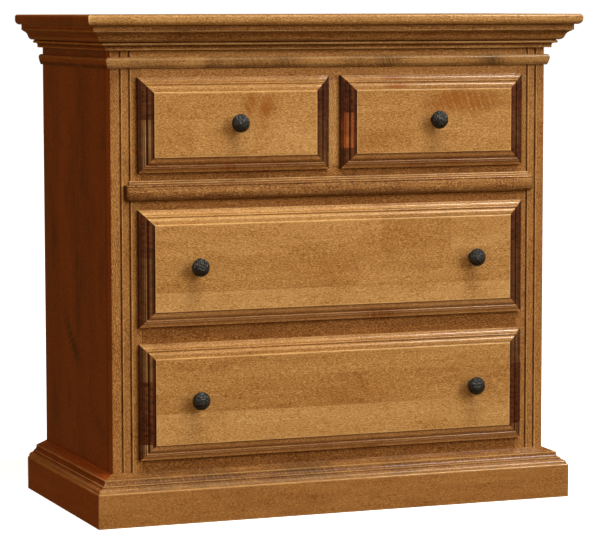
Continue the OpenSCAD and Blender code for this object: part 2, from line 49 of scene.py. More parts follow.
print("chest: frame loaded, nodes", len(nodes))

# planes of the case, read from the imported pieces
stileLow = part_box("stile_left")[0]
case = {"front": stileLow.y, "half": -stileLow.x, "back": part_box("side_panel_left")[1].y}

# camera as the photo has it: place in metres, angles in degrees
view = {
    "place": (-1.7848, -4.6295, 0.8774),
    "yaw": 21.151,
    "pitch": -5.533,
    "roll": -0.091,
    "lens": 166.27,
    "sensor": 36.0,
}


def addObject(name, data):
    thing = bpy.data.objects.new(name, data)
    bpy.context.scene.collection.objects.link(thing)
    return thing


def addCamera():
    data = bpy.data.cameras.new("photo_camera")
    data.sensor_width = view["sensor"]
    data.lens = view["lens"]
    camera = addObject("photo_camera", data)
    level = Matrix.Rotation(math.radians(-view["yaw"]), 4, "Z")
    tilt = Matrix.Rotation(math.radians(90 + view["pitch"]), 4, "X")
    roll = Matrix.Rotation(math.radians(view["roll"]), 4, "Z")
    camera.matrix_world = Matrix.Translation(view["place"]) @ level @ tilt @ roll
    bpy.context.scene.camera = camera


addCamera()
print("chest: camera set")


# outlines: flat lists of points in mm, first value out, second value up

def arc(cx, cy, radius, start, end, steps=12):
    turns = [math.radians(start + (end - start) * i / steps) for i in range(steps + 1)]
    return [(cx + radius * math.cos(t), cy + radius * math.sin(t)) for t in turns]


def between(a, b, t):
    return (a[0] + (b[0] - a[0]) * t, a[1] + (b[1] - a[1]) * t)


def swelling(a, b, rise, steps=8):
    # shallow arc between two points that stands out to the right of the way from a to b
    dx, dy = b[0] - a[0], b[1] - a[1]
    length = math.hypot(dx, dy)
    points = []
    for i in range(steps + 1):
        t = i / steps
        out = 4 * rise * t * (1 - t)
        points.append((a[0] + dx * t + dy / length * out, a[1] + dy * t - dx / length * out))
    return points


def softened(points, radius, closed=False, straight=-0.9, most=0.45):
    # corners become small rounds, but not the ends of an open outline nor what is nearly straight
    result = []
    for i, p in enumerate(points):
        before, after = points[i - 1], points[(i + 1) % len(points)]
        lengthIn, lengthOn = math.dist(p, before), math.dist(p, after)
        if not closed and i in (0, len(points) - 1):
            result.append(p)
            continue
        if min(lengthIn, lengthOn) < tiny:
            continue
        dot = (before[0] - p[0]) * (after[0] - p[0]) + (before[1] - p[1]) * (after[1] - p[1])
        if dot / (lengthIn * lengthOn) < straight:
            result.append(p)
            continue
        cut = min(radius, most * lengthIn, most * lengthOn)
        a, b = between(p, before, cut / lengthIn), between(p, after, cut / lengthOn)
        for t in (0, 1 / 3, 2 / 3, 1):
            result.append(between(between(a, p, t), between(p, b, t), t))
    return result


def divided(points, step, closed=False):
    # no stretch stays longer than the step
    result = [points[0]]
    for a, b in zip(points, points[1:] + (points[:1] if closed else [])):
        pieces = max(1, math.ceil(math.dist(a, b) / step))
        result += [between(a, b, i / pieces) for i in range(1, pieces + 1)]
    return result[:-1] if closed else result


def edgeMarks(points, reach=2.2):
    # for each point how much glaze and painted shade its hollow holds, and how far its edge is rubbed and
    # carries a painted highlight
    area = sum(a[0] * b[1] - b[0] * a[1] for a, b in zip(points, points[1:] + points[:1]))
    side = 1 if area > 0 else -1
    bends = [0.0] * len(points)
    for i in range(1, len(points) - 1):
        a, p, b = points[i - 1:i + 2]
        cross = (p[0] - a[0]) * (b[1] - p[1]) - (p[1] - a[1]) * (b[0] - p[0])
        dot = (p[0] - a[0]) * (b[0] - p[0]) + (p[1] - a[1]) * (b[1] - p[1])
        bends[i] = side * math.atan2(cross, dot)
    marks = []
    for p in points:
        total = sum(bend * max(0.0, 1 - math.dist(p, q) / reach) for q, bend in zip(points, bends))
        marks.append((min(1, max(0, -total)), min(1, max(0, total))))
    return marks


# shells: faces with what the finish needs to know at each corner

# the second mark darkens hollows as glaze and painted shade, the third lightens edges as rubbed wear and
# painted highlight
marksKept = ("tone", "glaze", "worn", "endGrain", "deep", "figure")
shellRules = {
    "sharp": 35,  # edges that turn by more degrees are drawn sharp
    "endFrom": 0.45, "endSpan": 0.4,  # how far a face has to turn across the grain to show end grain
    "openEnd": 0.7,  # ends that drink less stain than this show the deep stain of the sides
}


def newShell():
    return {"index": {}, "points": [], "faces": [], "grain": [], **{key: [] for key in marksKept}}


def woodBoard(along, tone=0.0, endTone=1.0, deep=0.0):
    # one board: the axis its grain follows, its own tone, and its own place in the tree
    return {
        "axes": [along] + [axis for axis in range(3) if axis != along],
        "shift": [dice.uniform(-4, 4) for _ in range(3)],
        "tone": tone,
        "endTone": endTone,
        "endDeep": 1.0 if endTone < shellRules["openEnd"] else 0.0,
        "deep": deep,
    }


def addFace(shell, corners, board, glaze=0.0, worn=0.0, endGrain=None, deep=None, figure=0.0):
    if endGrain is None:
        a, b, c = (Vector(p) for p in corners[:3])
        facing = abs((b - a).cross(c - a).normalized()[board["axes"][0]])
        shown = (facing - shellRules["endFrom"]) / shellRules["endSpan"]
        endGrain = min(1, max(0, shown)) * board["endTone"]
    face = []
    for p in corners:
        key = tuple(round(v / tiny) for v in p)
        if key not in shell["index"]:
            shell["index"][key] = len(shell["points"])
            shell["points"].append(tuple(p))
        face.append(shell["index"][key])
    if len(set(face)) < len(face):
        return
    shell["faces"].append(face)
    for p in corners:
        shell["grain"].extend(p[axis] + s for axis, s in zip(board["axes"], board["shift"]))
    deep = board["deep"] if deep is None else deep
    for key, value in zip(marksKept, (board["tone"], glaze, worn, endGrain, deep, figure)):
        shell[key].extend(value if isinstance(value, list) else [value] * len(corners))


def finishShell(shell, node, material, body="case"):
    mesh = bpy.data.meshes.new(f"{node}_wood")
    mesh.from_pydata(shell["points"], [], shell["faces"])
    mesh.attributes.new("grain", "FLOAT_VECTOR", "CORNER").data.foreach_set("vector", shell["grain"])
    for key in marksKept:
        mesh.attributes.new(key, "FLOAT", "CORNER").data.foreach_set("value", shell[key])
    work = bmesh.new()
    work.from_mesh(mesh)
    closeMesh(work, mesh)
    mesh.set_sharp_from_angle(angle=math.radians(shellRules["sharp"]))
    finishPiece(mesh, node, material, body)


def closeMesh(work, mesh):
    bmesh.ops.recalc_face_normals(work, faces=work.faces)
    work.to_mesh(mesh)
    work.free()
    mesh.shade_smooth()


def finishPiece(mesh, node, material, body):
    mesh.materials.append(material)
    piece = addObject(mesh.name, mesh)
    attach(piece, body)
    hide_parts(node)


def endsMarked(count, glaze, worn=0.0):
    # marks for the rows of a run, where only its two ends hold glaze or are rubbed
    return [(glaze, worn) if k in (0, count - 1) else (0.0, 0.0) for k in range(count)]


def noFigure(p):
    return 0.0


def addRun(shell, rows, marks, boardAt, figureAt=noFigure, closed=False, rowMarks=None, deepAt=None):
    # skin between rows of points: each row is the outline at one place along the piece
    rowMarks = rowMarks or endsMarked(len(rows), 0.0)
    count = len(rows[0])
    for k in range(len(rows) - 1):
        for i in range(count if closed else count - 1):
            j = (i + 1) % count
            around = ((i, k), (j, k), (j, k + 1), (i, k + 1))
            corners = [rows[row][point] for point, row in around]
            middle = sum((Vector(c) for c in corners), Vector()) / 4
            glaze = [max(marks[point][0], rowMarks[row][0]) for point, row in around]
            worn = [max(marks[point][1], rowMarks[row][1]) for point, row in around]
            deep = deepAt(middle) if deepAt else None
            addFace(shell, corners, boardAt(middle), glaze, worn, None, deep, [figureAt(c) for c in corners])
    if not closed:  # the flat that lies against the case
        for low, high in zip(rows, rows[1:]):
            addFace(shell, [low[-1], low[0], high[0], high[-1]], boardAt(Vector(low[-1])))
    for row in (rows[0], rows[-1]):
        addFace(shell, row, boardAt(Vector(row[0])))


def stationsBetween(start, end, step, margin):
    # places along a piece, with one close to each end
    length = end - start - 2 * margin
    pieces = max(1, round(length / step))
    return [start] + [start + margin + length * i / pieces for i in range(pieces + 1)] + [end]


def figureIn(spots, across=0):
    # sum of soft marks: place across and up, half sizes, strength, lean; below 0 they are lighter
    def at(p):
        total = 0.0
        for x, z, wide, tall, strength, lean in spots:
            v = (p[2] - z) / tall
            u = (p[across] - x - lean * (p[2] - z)) / wide
            total += strength * math.exp(-u * u - v * v)
        return total
    return at


# finishes

def paint(red, green, blue):
    # colour as an eye sees it, 0 to 255, turned into light values
    def light(v):
        v /= 255
        return v / 12.92 if v <= 0.04045 else ((v + 0.055) / 1.055) ** 2.4
    return (light(red), light(green), light(blue), 1.0)


def newMaterial(name):
    material = bpy.data.materials.new(name)
    material.use_nodes = True
    material.node_tree.nodes.clear()
    return material, material.node_tree


def put(tree, kind, values=None, **settings):
    node = tree.nodes.new(kind)
    for key, value in settings.items():
        setattr(node, key, value)
    for key, value in (values or {}).items():
        if isinstance(value, bpy.types.NodeSocket):
            tree.links.new(value, node.inputs[key])
        else:
            node.inputs[key].default_value = value
    return node


def mark(tree, name):
    return put(tree, "ShaderNodeAttribute", attribute_name=name).outputs["Fac"]


def calc(tree, operation, a, b=0.0, clamp=False):
    return put(tree, "ShaderNodeMath", {0: a, 1: b}, operation=operation, use_clamp=clamp).outputs[0]


def vectorCalc(tree, operation, a, b=(0, 0, 0), output=0):
    return put(tree, "ShaderNodeVectorMath", {0: a, 1: b}, operation=operation).outputs[output]


def cloud(tree, place, size=None, detail=2.0, roughness=0.55, output="Fac"):
    # soft noise: size is how many waves a metre holds along, across and through the wood
    if size:
        place = vectorCalc(tree, "MULTIPLY", place, size)
    values = {"Vector": place, "Scale": 1.0, "Detail": detail, "Roughness": roughness}
    return put(tree, "ShaderNodeTexNoise", values).outputs[output]


def ramped(tree, value, low, high, toLow=0.0, toHigh=1.0):
    values = {"Value": value, "From Min": low, "From Max": high, "To Min": toLow, "To Max": toHigh}
    return put(tree, "ShaderNodeMapRange", values, clamp=True).outputs[0]


def blended(tree, factor, a, b):
    node = put(tree, "ShaderNodeMix", {0: factor, 6: a, 7: b}, data_type="RGBA", clamp_factor=True)
    return node.outputs[2]


def pushed(tree, value, drift, amount):
    # noise about 0.5 pushes a value either way
    return calc(tree, "ADD", value, calc(tree, "MULTIPLY", calc(tree, "SUBTRACT", drift, 0.5), amount))


def surface(tree, colour, roughness, bump, height, settings):
    normal = put(tree, "ShaderNodeBump", {"Height": height, "Strength": 1.0, "Distance": bump}).outputs[0]
    values = {"Base Color": colour, "Roughness": roughness, "Normal": normal, **settings}
    shader = put(tree, "ShaderNodeBsdfPrincipled", values)
    put(tree, "ShaderNodeOutputMaterial", {0: shader.outputs[0]})


def addRamp(tree, value, places, tints):
    ramp = put(tree, "ShaderNodeValToRGB", {0: value})
    elements = ramp.color_ramp.elements
    while len(elements) < len(places):
        elements.new(0.5)
    for element, place, tint in zip(elements, places, tints):
        element.position = place
        element.color = paint(*tint)
    return ramp.outputs["Color"]


# stained maple, as the drawer fronts have it: tints go from dark wood to light wood
mapleLook = {
    "tintsAt": (0.0, 0.3, 0.5, 0.72, 1.0),
    "tints": ((114, 67, 23), (160, 109, 51), (186, 136, 74), (206, 159, 95), (224, 184, 122)),
    "deepAt": (0.0, 0.35, 0.55, 1.0),
    "deepTints": ((92, 34, 8), (140, 58, 17), (168, 76, 27), (205, 112, 50)),
    "endDark": (38, 15, 6), "endLight": (116, 60, 29),
    "figureTint": (156, 92, 32), "figureShade": 0.3, "figureHold": 1.2, "curl": (170, 0, 70),
    "glazed": (56, 24, 8), "glaze": 0.45,
    "rubbed": (232, 188, 120), "rub": 0.85, "deepRub": 0.36,
    "streak": 0.26, "broad": 0.30, "fleck": 2.1, "blotch": 0.14, "pore": 0.12,
    "streakSize": (9, 330, 330), "broadSize": (2.2, 26, 26), "fleckSize": (240, 1000, 1000),
    "blotchSize": (11, 22, 22), "poreSize": (70, 1500, 1500), "endSize": (60, 190, 190),
    "patchSize": (30, 90, 90), "bendSize": (7, 20, 20), "bend": (0.006, 0.010, 0.010),
    "rough": 0.42, "heldRough": 0.15, "streakRough": 0.12,
    "bump": 0.00012, "poreDeep": 3.0, "blotchHigh": 1.5, "shine": 0.12, "coat": 0.35, "coatRough": 0.12,
    # from where to where in the noise each one shows
    "blotchFrom": (0.52, 0.74), "poreFrom": (0.60, 0.74), "curlFrom": (0.40, 0.58), "drunkFrom": (0.3, 0.7),
    # the same for the patches where edges are rubbed and lit and where glaze and painted shade are held,
    # with least and most of it
    "rubPatch": (0.35, 0.6, 0.5, 1.0), "glazePatch": (0.3, 0.65, 1.0, 0.6),
}


def stainedMaple(name, **changes):
    # maple under a honey stain, with dark glaze and painted shade in the hollows, rubbed edges that also
    # carry painted highlights, and a satin lacquer
    look = {**mapleLook, **changes}
    material, tree = newMaterial(name)
    grain = put(tree, "ShaderNodeAttribute", attribute_name="grain").outputs["Vector"]
    bend = cloud(tree, grain, look["bendSize"], 1.0, 0.5, "Color")
    bend = vectorCalc(tree, "SUBTRACT", bend, (0.5, 0.5, 0.5))
    grain = vectorCalc(tree, "ADD", grain, vectorCalc(tree, "MULTIPLY", bend, look["bend"]))

    streak = cloud(tree, grain, look["streakSize"], 2.0, 0.6)
    blotch = cloud(tree, grain, look["blotchSize"], 3.0, 0.6)
    pores = cloud(tree, grain, look["poreSize"], 1.0)
    lean = vectorCalc(tree, "DOT_PRODUCT", grain, look["curl"], "Value")
    curl = put(tree, "ShaderNodeCombineXYZ", {0: lean, 1: 0.0, 2: 0.0}).outputs[0]
    curl = cloud(tree, curl, detail=1.0)

    value = calc(tree, "ADD", mark(tree, "tone"), 0.5)
    value = pushed(tree, value, streak, look["streak"])
    value = pushed(tree, value, cloud(tree, grain, look["broadSize"]), look["broad"])
    value = pushed(tree, value, cloud(tree, grain, look["fleckSize"], 2.0, 0.8), look["fleck"])
    value = calc(tree, "SUBTRACT", value, ramped(tree, blotch, *look["blotchFrom"], 0.0, look["blotch"]))
    pore = ramped(tree, pores, *look["poreFrom"], 0.0, look["pore"])
    value = calc(tree, "SUBTRACT", value, pore)
    figure = calc(tree, "MULTIPLY", mark(tree, "figure"), ramped(tree, curl, *look["curlFrom"], 0.25, 1.0))
    value = calc(tree, "SUBTRACT", value, calc(tree, "MULTIPLY", figure, look["figureShade"]))

    colour = addRamp(tree, value, look["tintsAt"], look["tints"])
    figured = calc(tree, "MULTIPLY", figure, look["figureHold"], True)
    colour = blended(tree, figured, colour, paint(*look["figureTint"]))
    deepTint = addRamp(tree, value, look["deepAt"], look["deepTints"])
    colour = blended(tree, mark(tree, "deep"), colour, deepTint)

    # end grain drinks the stain, unevenly
    drunk = ramped(tree, cloud(tree, grain, look["endSize"], 2.0, 0.7), *look["drunkFrom"])
    endTint = blended(tree, drunk, paint(*look["endDark"]), paint(*look["endLight"]))
    colour = blended(tree, mark(tree, "endGrain"), colour, endTint)

    patch = cloud(tree, grain, look["patchSize"])
    # rubbed wear and painted highlight: lighter colour on marked edges
    rubbed = calc(tree, "MULTIPLY", mark(tree, "worn"), ramped(tree, patch, *look["rubPatch"]))
    rub = ramped(tree, mark(tree, "deep"), 0.0, 1.0, look["rub"], look["deepRub"])
    colour = blended(tree, calc(tree, "MULTIPLY", rubbed, rub), colour, paint(*look["rubbed"]))
    # glaze and painted shade: dark colour in marked hollows
    held = calc(tree, "MULTIPLY", mark(tree, "glaze"), ramped(tree, patch, *look["glazePatch"]))
    held = calc(tree, "MULTIPLY", held, look["glaze"], True)
    colour = blended(tree, held, colour, paint(*look["glazed"]))

    rough = pushed(tree, calc(tree, "MULTIPLY", held, look["heldRough"]), streak, look["streakRough"])
    rough = calc(tree, "ADD", rough, look["rough"])
    height = calc(tree, "SUBTRACT", streak, calc(tree, "MULTIPLY", pore, look["poreDeep"]))
    height = calc(tree, "ADD", height, calc(tree, "MULTIPLY", blotch, look["blotchHigh"]))
    lacquer = {"Coat Weight": look["coat"], "Coat Roughness": look["coatRough"],
               "Specular IOR Level": look["shine"]}
    surface(tree, colour, rough, look["bump"], height, lacquer)
    return material


frameMaple = stainedMaple(
    "frame_maple", tints=((84, 46, 16), (126, 78, 33), (154, 102, 49), (176, 124, 66), (202, 156, 92)),
    fleck=2.5, fleckSize=(260, 820, 820), glaze=0.85, glazed=(74, 31, 9), rub=0.55)
fieldMaple = stainedMaple("drawer_front_maple")
mouldingMaple = stainedMaple(
    "moulding_maple", tints=((80, 44, 16), (124, 77, 33), (152, 101, 49), (178, 128, 68), (206, 160, 96)),
    fleck=2.8, fleckSize=(280, 820, 820), streak=0.75, broad=0.5, figureTint=(92, 66, 38), glaze=0.7,
    glazed=(62, 27, 9), rub=0.4, deepRub=0.62, coat=0.2)
plinthMaple = stainedMaple(
    "plinth_maple", tints=((84, 46, 16), (128, 80, 34), (154, 102, 49), (176, 124, 64), (200, 154, 90)),
    fleck=1.7, fleckSize=(260, 900, 900), broad=0.34, rub=0.4)
topMaple = stainedMaple(
    "top_maple", tints=((94, 56, 20), (142, 96, 44), (172, 124, 66), (192, 144, 82), (214, 170, 106)),
    fleck=2.7, fleckSize=(240, 820, 820))
sideMaple = stainedMaple("side_maple", blotch=0.22)
print("chest: maple finishes made")


rawLook = {
    "streakSize": (7, 260, 260), "streak": 0.5, "broadSize": (3, 17, 17), "broad": 0.6,
    "poreSize": (60, 1200, 1200), "poreFrom": (0.6, 0.75), "pore": 0.25, "shades": (0.78, 1.07),
    "rough": 0.55, "streakRough": 0.15, "bump": 0.0001, "shine": 0.4,
}


def rawMaple(name, order, tint):
    # unstained wood inside the case: order gives the axes along, across and through
    look = rawLook
    material, tree = newMaterial(name)
    split = put(tree, "ShaderNodeSeparateXYZ", {0: put(tree, "ShaderNodeTexCoord").outputs["Object"]})
    turned = {i: split.outputs[axis] for i, axis in enumerate(order)}
    grain = put(tree, "ShaderNodeCombineXYZ", turned).outputs[0]
    streak = cloud(tree, grain, look["streakSize"], 3.0, 0.6)
    value = pushed(tree, 0.5, streak, look["streak"])
    value = pushed(tree, value, cloud(tree, grain, look["broadSize"]), look["broad"])
    pores = cloud(tree, grain, look["poreSize"], 1.0)
    value = calc(tree, "SUBTRACT", value, ramped(tree, pores, *look["poreFrom"], 0.0, look["pore"]))
    dark, light = (paint(*[min(255, v * part) for v in tint]) for part in look["shades"])
    rough = pushed(tree, look["rough"], streak, look["streakRough"])
    surface(tree, blended(tree, value, dark, light), rough, look["bump"], streak,
            {"Specular IOR Level": look["shine"]})
    return material


ironLook = {
    "scaleSize": (520, 520, 520), "scaleHigh": 0.4, "blows": 360.0, "blowsFrom": (0.30, 0.62),
    "dark": (9, 8, 6), "light": (62, 62, 57), "rubbed": (68, 66, 60), "rub": 0.2,
    "rough": 0.36, "scaleRough": 0.3, "bump": 0.0015, "metal": 0.5, "shine": 0.5,
}


def forgedIron(name):
    # blackened iron, a little brighter where hands rub the high spots, with lighter speckles that are also
    # painted glints
    look = ironLook
    material, tree = newMaterial(name)
    place = put(tree, "ShaderNodeTexCoord").outputs["Object"]
    scale = cloud(tree, place, look["scaleSize"], 3.0, 0.65)
    blows = put(tree, "ShaderNodeTexVoronoi", {"Vector": place, "Scale": look["blows"]}).outputs["Distance"]
    # lighter speckles: the iron's patchy colour and painted glints of the hammered facets
    bright = ramped(tree, blows, *look["blowsFrom"])
    colour = blended(tree, bright, paint(*look["dark"]), paint(*look["light"]))
    worn = calc(tree, "MULTIPLY", mark(tree, "worn"), look["rub"])
    colour = blended(tree, worn, colour, paint(*look["rubbed"]))
    height = calc(tree, "ADD", blows, calc(tree, "MULTIPLY", scale, look["scaleHigh"]))
    rough = pushed(tree, look["rough"], scale, look["scaleRough"])
    surface(tree, colour, rough, look["bump"], height,
            {"Metallic": look["metal"], "Specular IOR Level": look["shine"]})
    return material


steelLook = {
    "scratchSize": (300, 300, 2600), "dark": (128, 128, 124), "light": (186, 184, 178),
    "rough": 0.34, "scratchRough": 0.25, "bump": 0.00005,
}


def turnedSteel(name):
    look = steelLook
    material, tree = newMaterial(name)
    place = put(tree, "ShaderNodeTexCoord").outputs["Object"]
    scratch = cloud(tree, place, look["scratchSize"])
    colour = blended(tree, scratch, paint(*look["dark"]), paint(*look["light"]))
    rough = pushed(tree, look["rough"], scratch, look["scratchRough"])
    surface(tree, colour, rough, look["bump"], scratch, {"Metallic": 1.0})
    return material


ironFinish = forgedIron("knob_iron")
steelFinish = turnedSteel("screw_steel")


# mouldings that go round the case, mitred at the front corners: sizes in mm, then tone of the front
# length, how far its mitres are rubbed and carry a painted highlight, and soft figure in its wood

crown = {
    "footOut": 9.6, "footHigh": 4.6, "footRound": 3.5, "beadStep": 2.5, "beadRound": 2.3,
    "ogeeStep": 3.2, "ogeeRound": 8.6, "ogeeHollow": 13.2, "lean": 15.0,
    "step": 2.6, "band": 10.2, "fillet": 1.3, "soft": 0.6, "tone": -0.06, "mitreWearAndHighlight": 0.2,
}
astragal = {
    "out": 7.5, "footOut": 4.2, "round": 5.0, "edgeRound": 1.5, "swell": 0.6, "soft": 0.4,
    "shadeHigh": 7.0, "shadeGlaze": 0.9, "tone": 0.29, "mitreWearAndHighlight": 1.0,
    "figure": [(-0.222, 0.781, 0.020, 0.02, 0.60, 0), (-0.160, 0.780, 0.030, 0.02, 0.45, 0),
               (-0.090, 0.781, 0.024, 0.02, 0.55, 0), (0.035, 0.780, 0.025, 0.02, 0.35, 0),
               (0.100, 0.781, 0.024, 0.02, 0.60, 0), (0.298, 0.782, 0.020, 0.02, 0.90, 0),
               (-0.33, 0.778, 0.04, 0.01, 0.3, 0), (-0.257, 0.786, 0.016, 0.02, -0.9, 0),
               (-0.018, 0.785, 0.026, 0.02, -1.1, 0), (-0.405, 0.785, 0.016, 0.02, -0.7, 0),
               (0.180, 0.786, 0.040, 0.01, -0.5, 0), (0.37, 0.786, 0.03, 0.02, -0.5, 0)],
}
base = {
    "set": 2.5, "round": 6.0, "step": 2.5, "face": 2.7, "hollow": 7.0, "hollowSet": 1.5,
    "slope": 8.0, "fillet": 0.9, "soft": 0.5, "tone": -0.09, "mitreWearAndHighlight": 1.0,
    "figure": [(-0.335, 0.075, 0.03, 0.03, 0.5, 0), (-0.235, 0.075, 0.05, 0.03, 0.5, 0),
               (-0.06, 0.075, 0.06, 0.03, 0.6, 0), (0.12, 0.075, 0.03, 0.03, 0.3, 0)],
}
plinth = {"edgeRound": 3.0, "soft": 1.0, "tone": 0.09, "sideTone": 0.1, "mitreWearAndHighlight": 0.2}
roundLengths = {
    "outlineStep": 1.6, "station": 12.0, "margin": 2.0,
    "sideStation": 0.05, "sideMargin": 0.004,  # shares of the side's length
    "frontMitreGlaze": 0.1, "sideMitreGlaze": 0.7,
    # on the side lengths, glaze with its painted shade and rubbed edges with their painted highlights show
    # more
    "sideGlazeAndShade": 1.7, "sideWearAndHighlight": 1.5,  # the sides' glaze and rubbed edges show more
}


def crownOutline():
    c = crown
    lean = math.radians(c["lean"])
    both = c["ogeeRound"] + c["ogeeHollow"]
    beadOut = c["footOut"] + c["footRound"] + c["beadStep"]
    beadUp = c["footHigh"] + c["footRound"] + c["beadRound"]
    roundOut = beadOut + c["ogeeStep"]
    roundUp = beadUp + c["beadRound"] + c["fillet"] + c["ogeeRound"]
    hollowOut = roundOut + both * math.cos(lean)
    hollowUp = roundUp - both * math.sin(lean)
    lipOut = hollowOut - c["ogeeHollow"] * math.sin(lean)
    lipUp = hollowUp + c["ogeeHollow"] * math.cos(lean) + c["fillet"]
    edge = lipOut + c["step"]
    top = lipUp + c["band"]
    return (
        [(0, 0), (c["footOut"], 0)]
        + arc(c["footOut"] + c["footRound"], c["footHigh"], c["footRound"], 180, 90, 6)
        + arc(beadOut, beadUp, c["beadRound"], -90, 90, 10)
        + [(beadOut, roundUp - c["ogeeRound"])]
        + arc(roundOut, roundUp, c["ogeeRound"], -90, -c["lean"])
        + arc(hollowOut, hollowUp, c["ogeeHollow"], 180 - c["lean"], 90 + c["lean"])[1:]
        + [(lipOut, lipUp), (edge, lipUp), (edge, top), (0, top)]
    )


def astragalOutline(height):
    a = astragal
    foot = (a["footOut"], a["edgeRound"])
    shoulder = (a["out"], height - a["round"])
    return (
        [(0, 0)] + arc(a["footOut"] - a["edgeRound"], a["edgeRound"], a["edgeRound"], -90, 0, 5)
        + swelling(foot, shoulder, a["swell"])[1:]
        + arc(a["out"] - a["round"], height - a["round"], a["round"], 0, 90)[1:] + [(0, height)]
    )


def baseOutline(out, height):
    b = base
    roundOut = out - b["set"] - b["round"]
    faceOut = roundOut - b["step"]
    faceUp = 2 * b["fillet"] + b["round"]
    hollowOut = faceOut + b["hollowSet"]
    turn = math.degrees(math.asin(b["hollowSet"] / b["hollow"]))
    hollowUp = faceUp + b["face"] + b["hollow"] * math.cos(math.radians(turn))
    return (
        [(0, 0), (roundOut + b["round"], 0)] + arc(roundOut, b["fillet"], b["round"], 0, 90)
        + [(roundOut, faceUp), (faceOut, faceUp)]
        + arc(hollowOut, hollowUp, b["hollow"], 270 - turn, 180)
        + [(hollowOut - b["hollow"], height - b["slope"]), (0, height)]
    )


def plinthOutline(out, height):
    r = plinth["edgeRound"]
    return [(0, 0), (out, 0)] + arc(out - r, height - r, r, 0, 90) + [(0, height)]


def shadedFoot(outline, high, glaze):
    # edge marks of an outline, with painted shade in the glaze colour gathered below a height, where the
    # piece faces down
    marks = []
    for (out, up), (held, worn) in zip(outline, edgeMarks(outline)):
        low = max(0.0, 1 - up / high)
        marks.append((max(held, glaze * min(1.0, 2 * low)), worn * (1 - low)))
    return marks


def roundCase(part, piece, outline, material=mouldingMaple):
    # front, left and right length of one moulding
    r = roundLengths
    boards = {
        "front": woodBoard(0, piece["tone"]),
        "left": woodBoard(1, piece.get("sideTone", 0.0), deep=1.0),
        "right": woodBoard(1, piece.get("sideTone", 0.0), deep=1.0),
    }
    shape = divided(softened(outline, piece["soft"]), r["outlineStep"])
    marks = edgeMarks(shape)
    if "shadeHigh" in piece:
        marks = shadedFoot(shape, piece["shadeHigh"], piece["shadeGlaze"])
    sideMarks = [(min(1.0, r["sideGlazeAndShade"] * a), min(1.0, r["sideWearAndHighlight"] * b)) for a, b in marks]
    figures = figureIn(piece.get("figure", []))
    half, front, back = case["half"], case["front"], case["back"]
    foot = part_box(f"{part}_front")[0].z
    for side, board in boards.items():
        if side == "front":
            rows = [[(s * (half + o * mm), front - o * mm, foot + u * mm) for o, u in shape]
                    for s in stationsBetween(-1, 1, r["station"] * mm / half, r["margin"] * mm / half)]
            glaze, worn, held = r["frontMitreGlaze"], piece["mitreWearAndHighlight"], marks
            figureAt = figures
        else:
            way, length = ways[side], back - front
            rows = [[(way * (half + o * mm), front - o * mm + (length + o * mm) * t, foot + u * mm)
                     for o, u in shape] for t in stationsBetween(0, 1, r["sideStation"], r["sideMargin"])]
            glaze, worn, held = r["sideMitreGlaze"], 0.0, sideMarks
            figureAt = noFigure
        shell = newShell()
        addRun(shell, rows, held, lambda p: board, figureAt, rowMarks=endsMarked(len(rows), glaze, worn))
        finishShell(shell, f"{part}_{side}", material)


def frontHeight(node):
    low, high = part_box(node)
    return (high.z - low.z) / mm


plinthOut = (case["front"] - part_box("plinth_front")[0].y) / mm
roundCase("crown", crown, crownOutline())
roundCase("astragal", astragal, astragalOutline(frontHeight("astragal_front")))
roundCase("base_moulding", base, baseOutline(plinthOut, frontHeight("base_moulding_front")))
roundCase("plinth", plinth, plinthOutline(plinthOut, frontHeight("plinth_front")), plinthMaple)
print("chest: mouldings round the case made")


# bar on the middle rail, with two reeds over it

bar = {
    "high": 27.0, "footRound": 7.0, "swell": 0.6, "bead": 2.0, "quirk": 0.6, "endRound": 7.0,
    "footTurn": 20.0, "beadTurn": 70.0, "reedOut": 4.0, "reedInset": 8.0, "reedStep": 3.0,
    "step": 2.0, "pieces": 60, "reedStation": 14.0, "reedMargin": 1.0, "leastTurn": 0.05, "leastOut": 0.3,
    "shadeHigh": 14.0, "shadeGlaze": 0.9, "leftEndShade": 0.9, "rightEndShade": 0.3,
    "figure": [(0.02, 0.565, 0.05, 0.05, 0.16, 0.4), (0.11, 0.565, 0.05, 0.05, 0.12, -0.3),
               (-0.29, 0.565, 0.05, 0.05, 0.10, 0.3), (-0.12, 0.565, 0.06, 0.05, 0.08, 0)],
}


def roundedEndRow(halfLength, out, z, steps=6):
    # outline in plan of one level of the bar, from the left end round to the right end
    turn = max(min(bar["endRound"], out), bar["leastTurn"])
    cornerX = halfLength - turn
    left = [(-cornerX + x, -out + turn + y) for x, y in arc(0, 0, turn, 180, 270, steps)]
    right = [(cornerX + x, -out + turn + y) for x, y in arc(0, 0, turn, 270, 360, steps)]
    pieces = bar["pieces"]
    middle = [(-cornerX + 2 * cornerX * i / pieces, -out) for i in range(1, pieces)]
    flat = [(-halfLength, 0)] + left + middle + right + [(halfLength, 0)]
    return [(x * mm, case["front"] + y * mm, z) for x, y in flat]


def barOutline(out):
    b = bar
    r = b["footRound"]
    turn = math.radians(b["footTurn"])
    beadUp = b["high"] - b["bead"]
    foot = (out - r * (1 - math.cos(turn)), r * (1 - math.sin(turn)))
    shoulder = (out - b["quirk"], beadUp - b["bead"] - b["quirk"])
    return (
        [(0.0, 0.0)] + arc(out - r, r, r, -90, -b["footTurn"], 8)
        + swelling(foot, shoulder, b["swell"])[1:]
        + arc(out - b["bead"], beadUp, b["bead"], -b["beadTurn"], 90, 10) + [(0.0, b["high"])]
    )


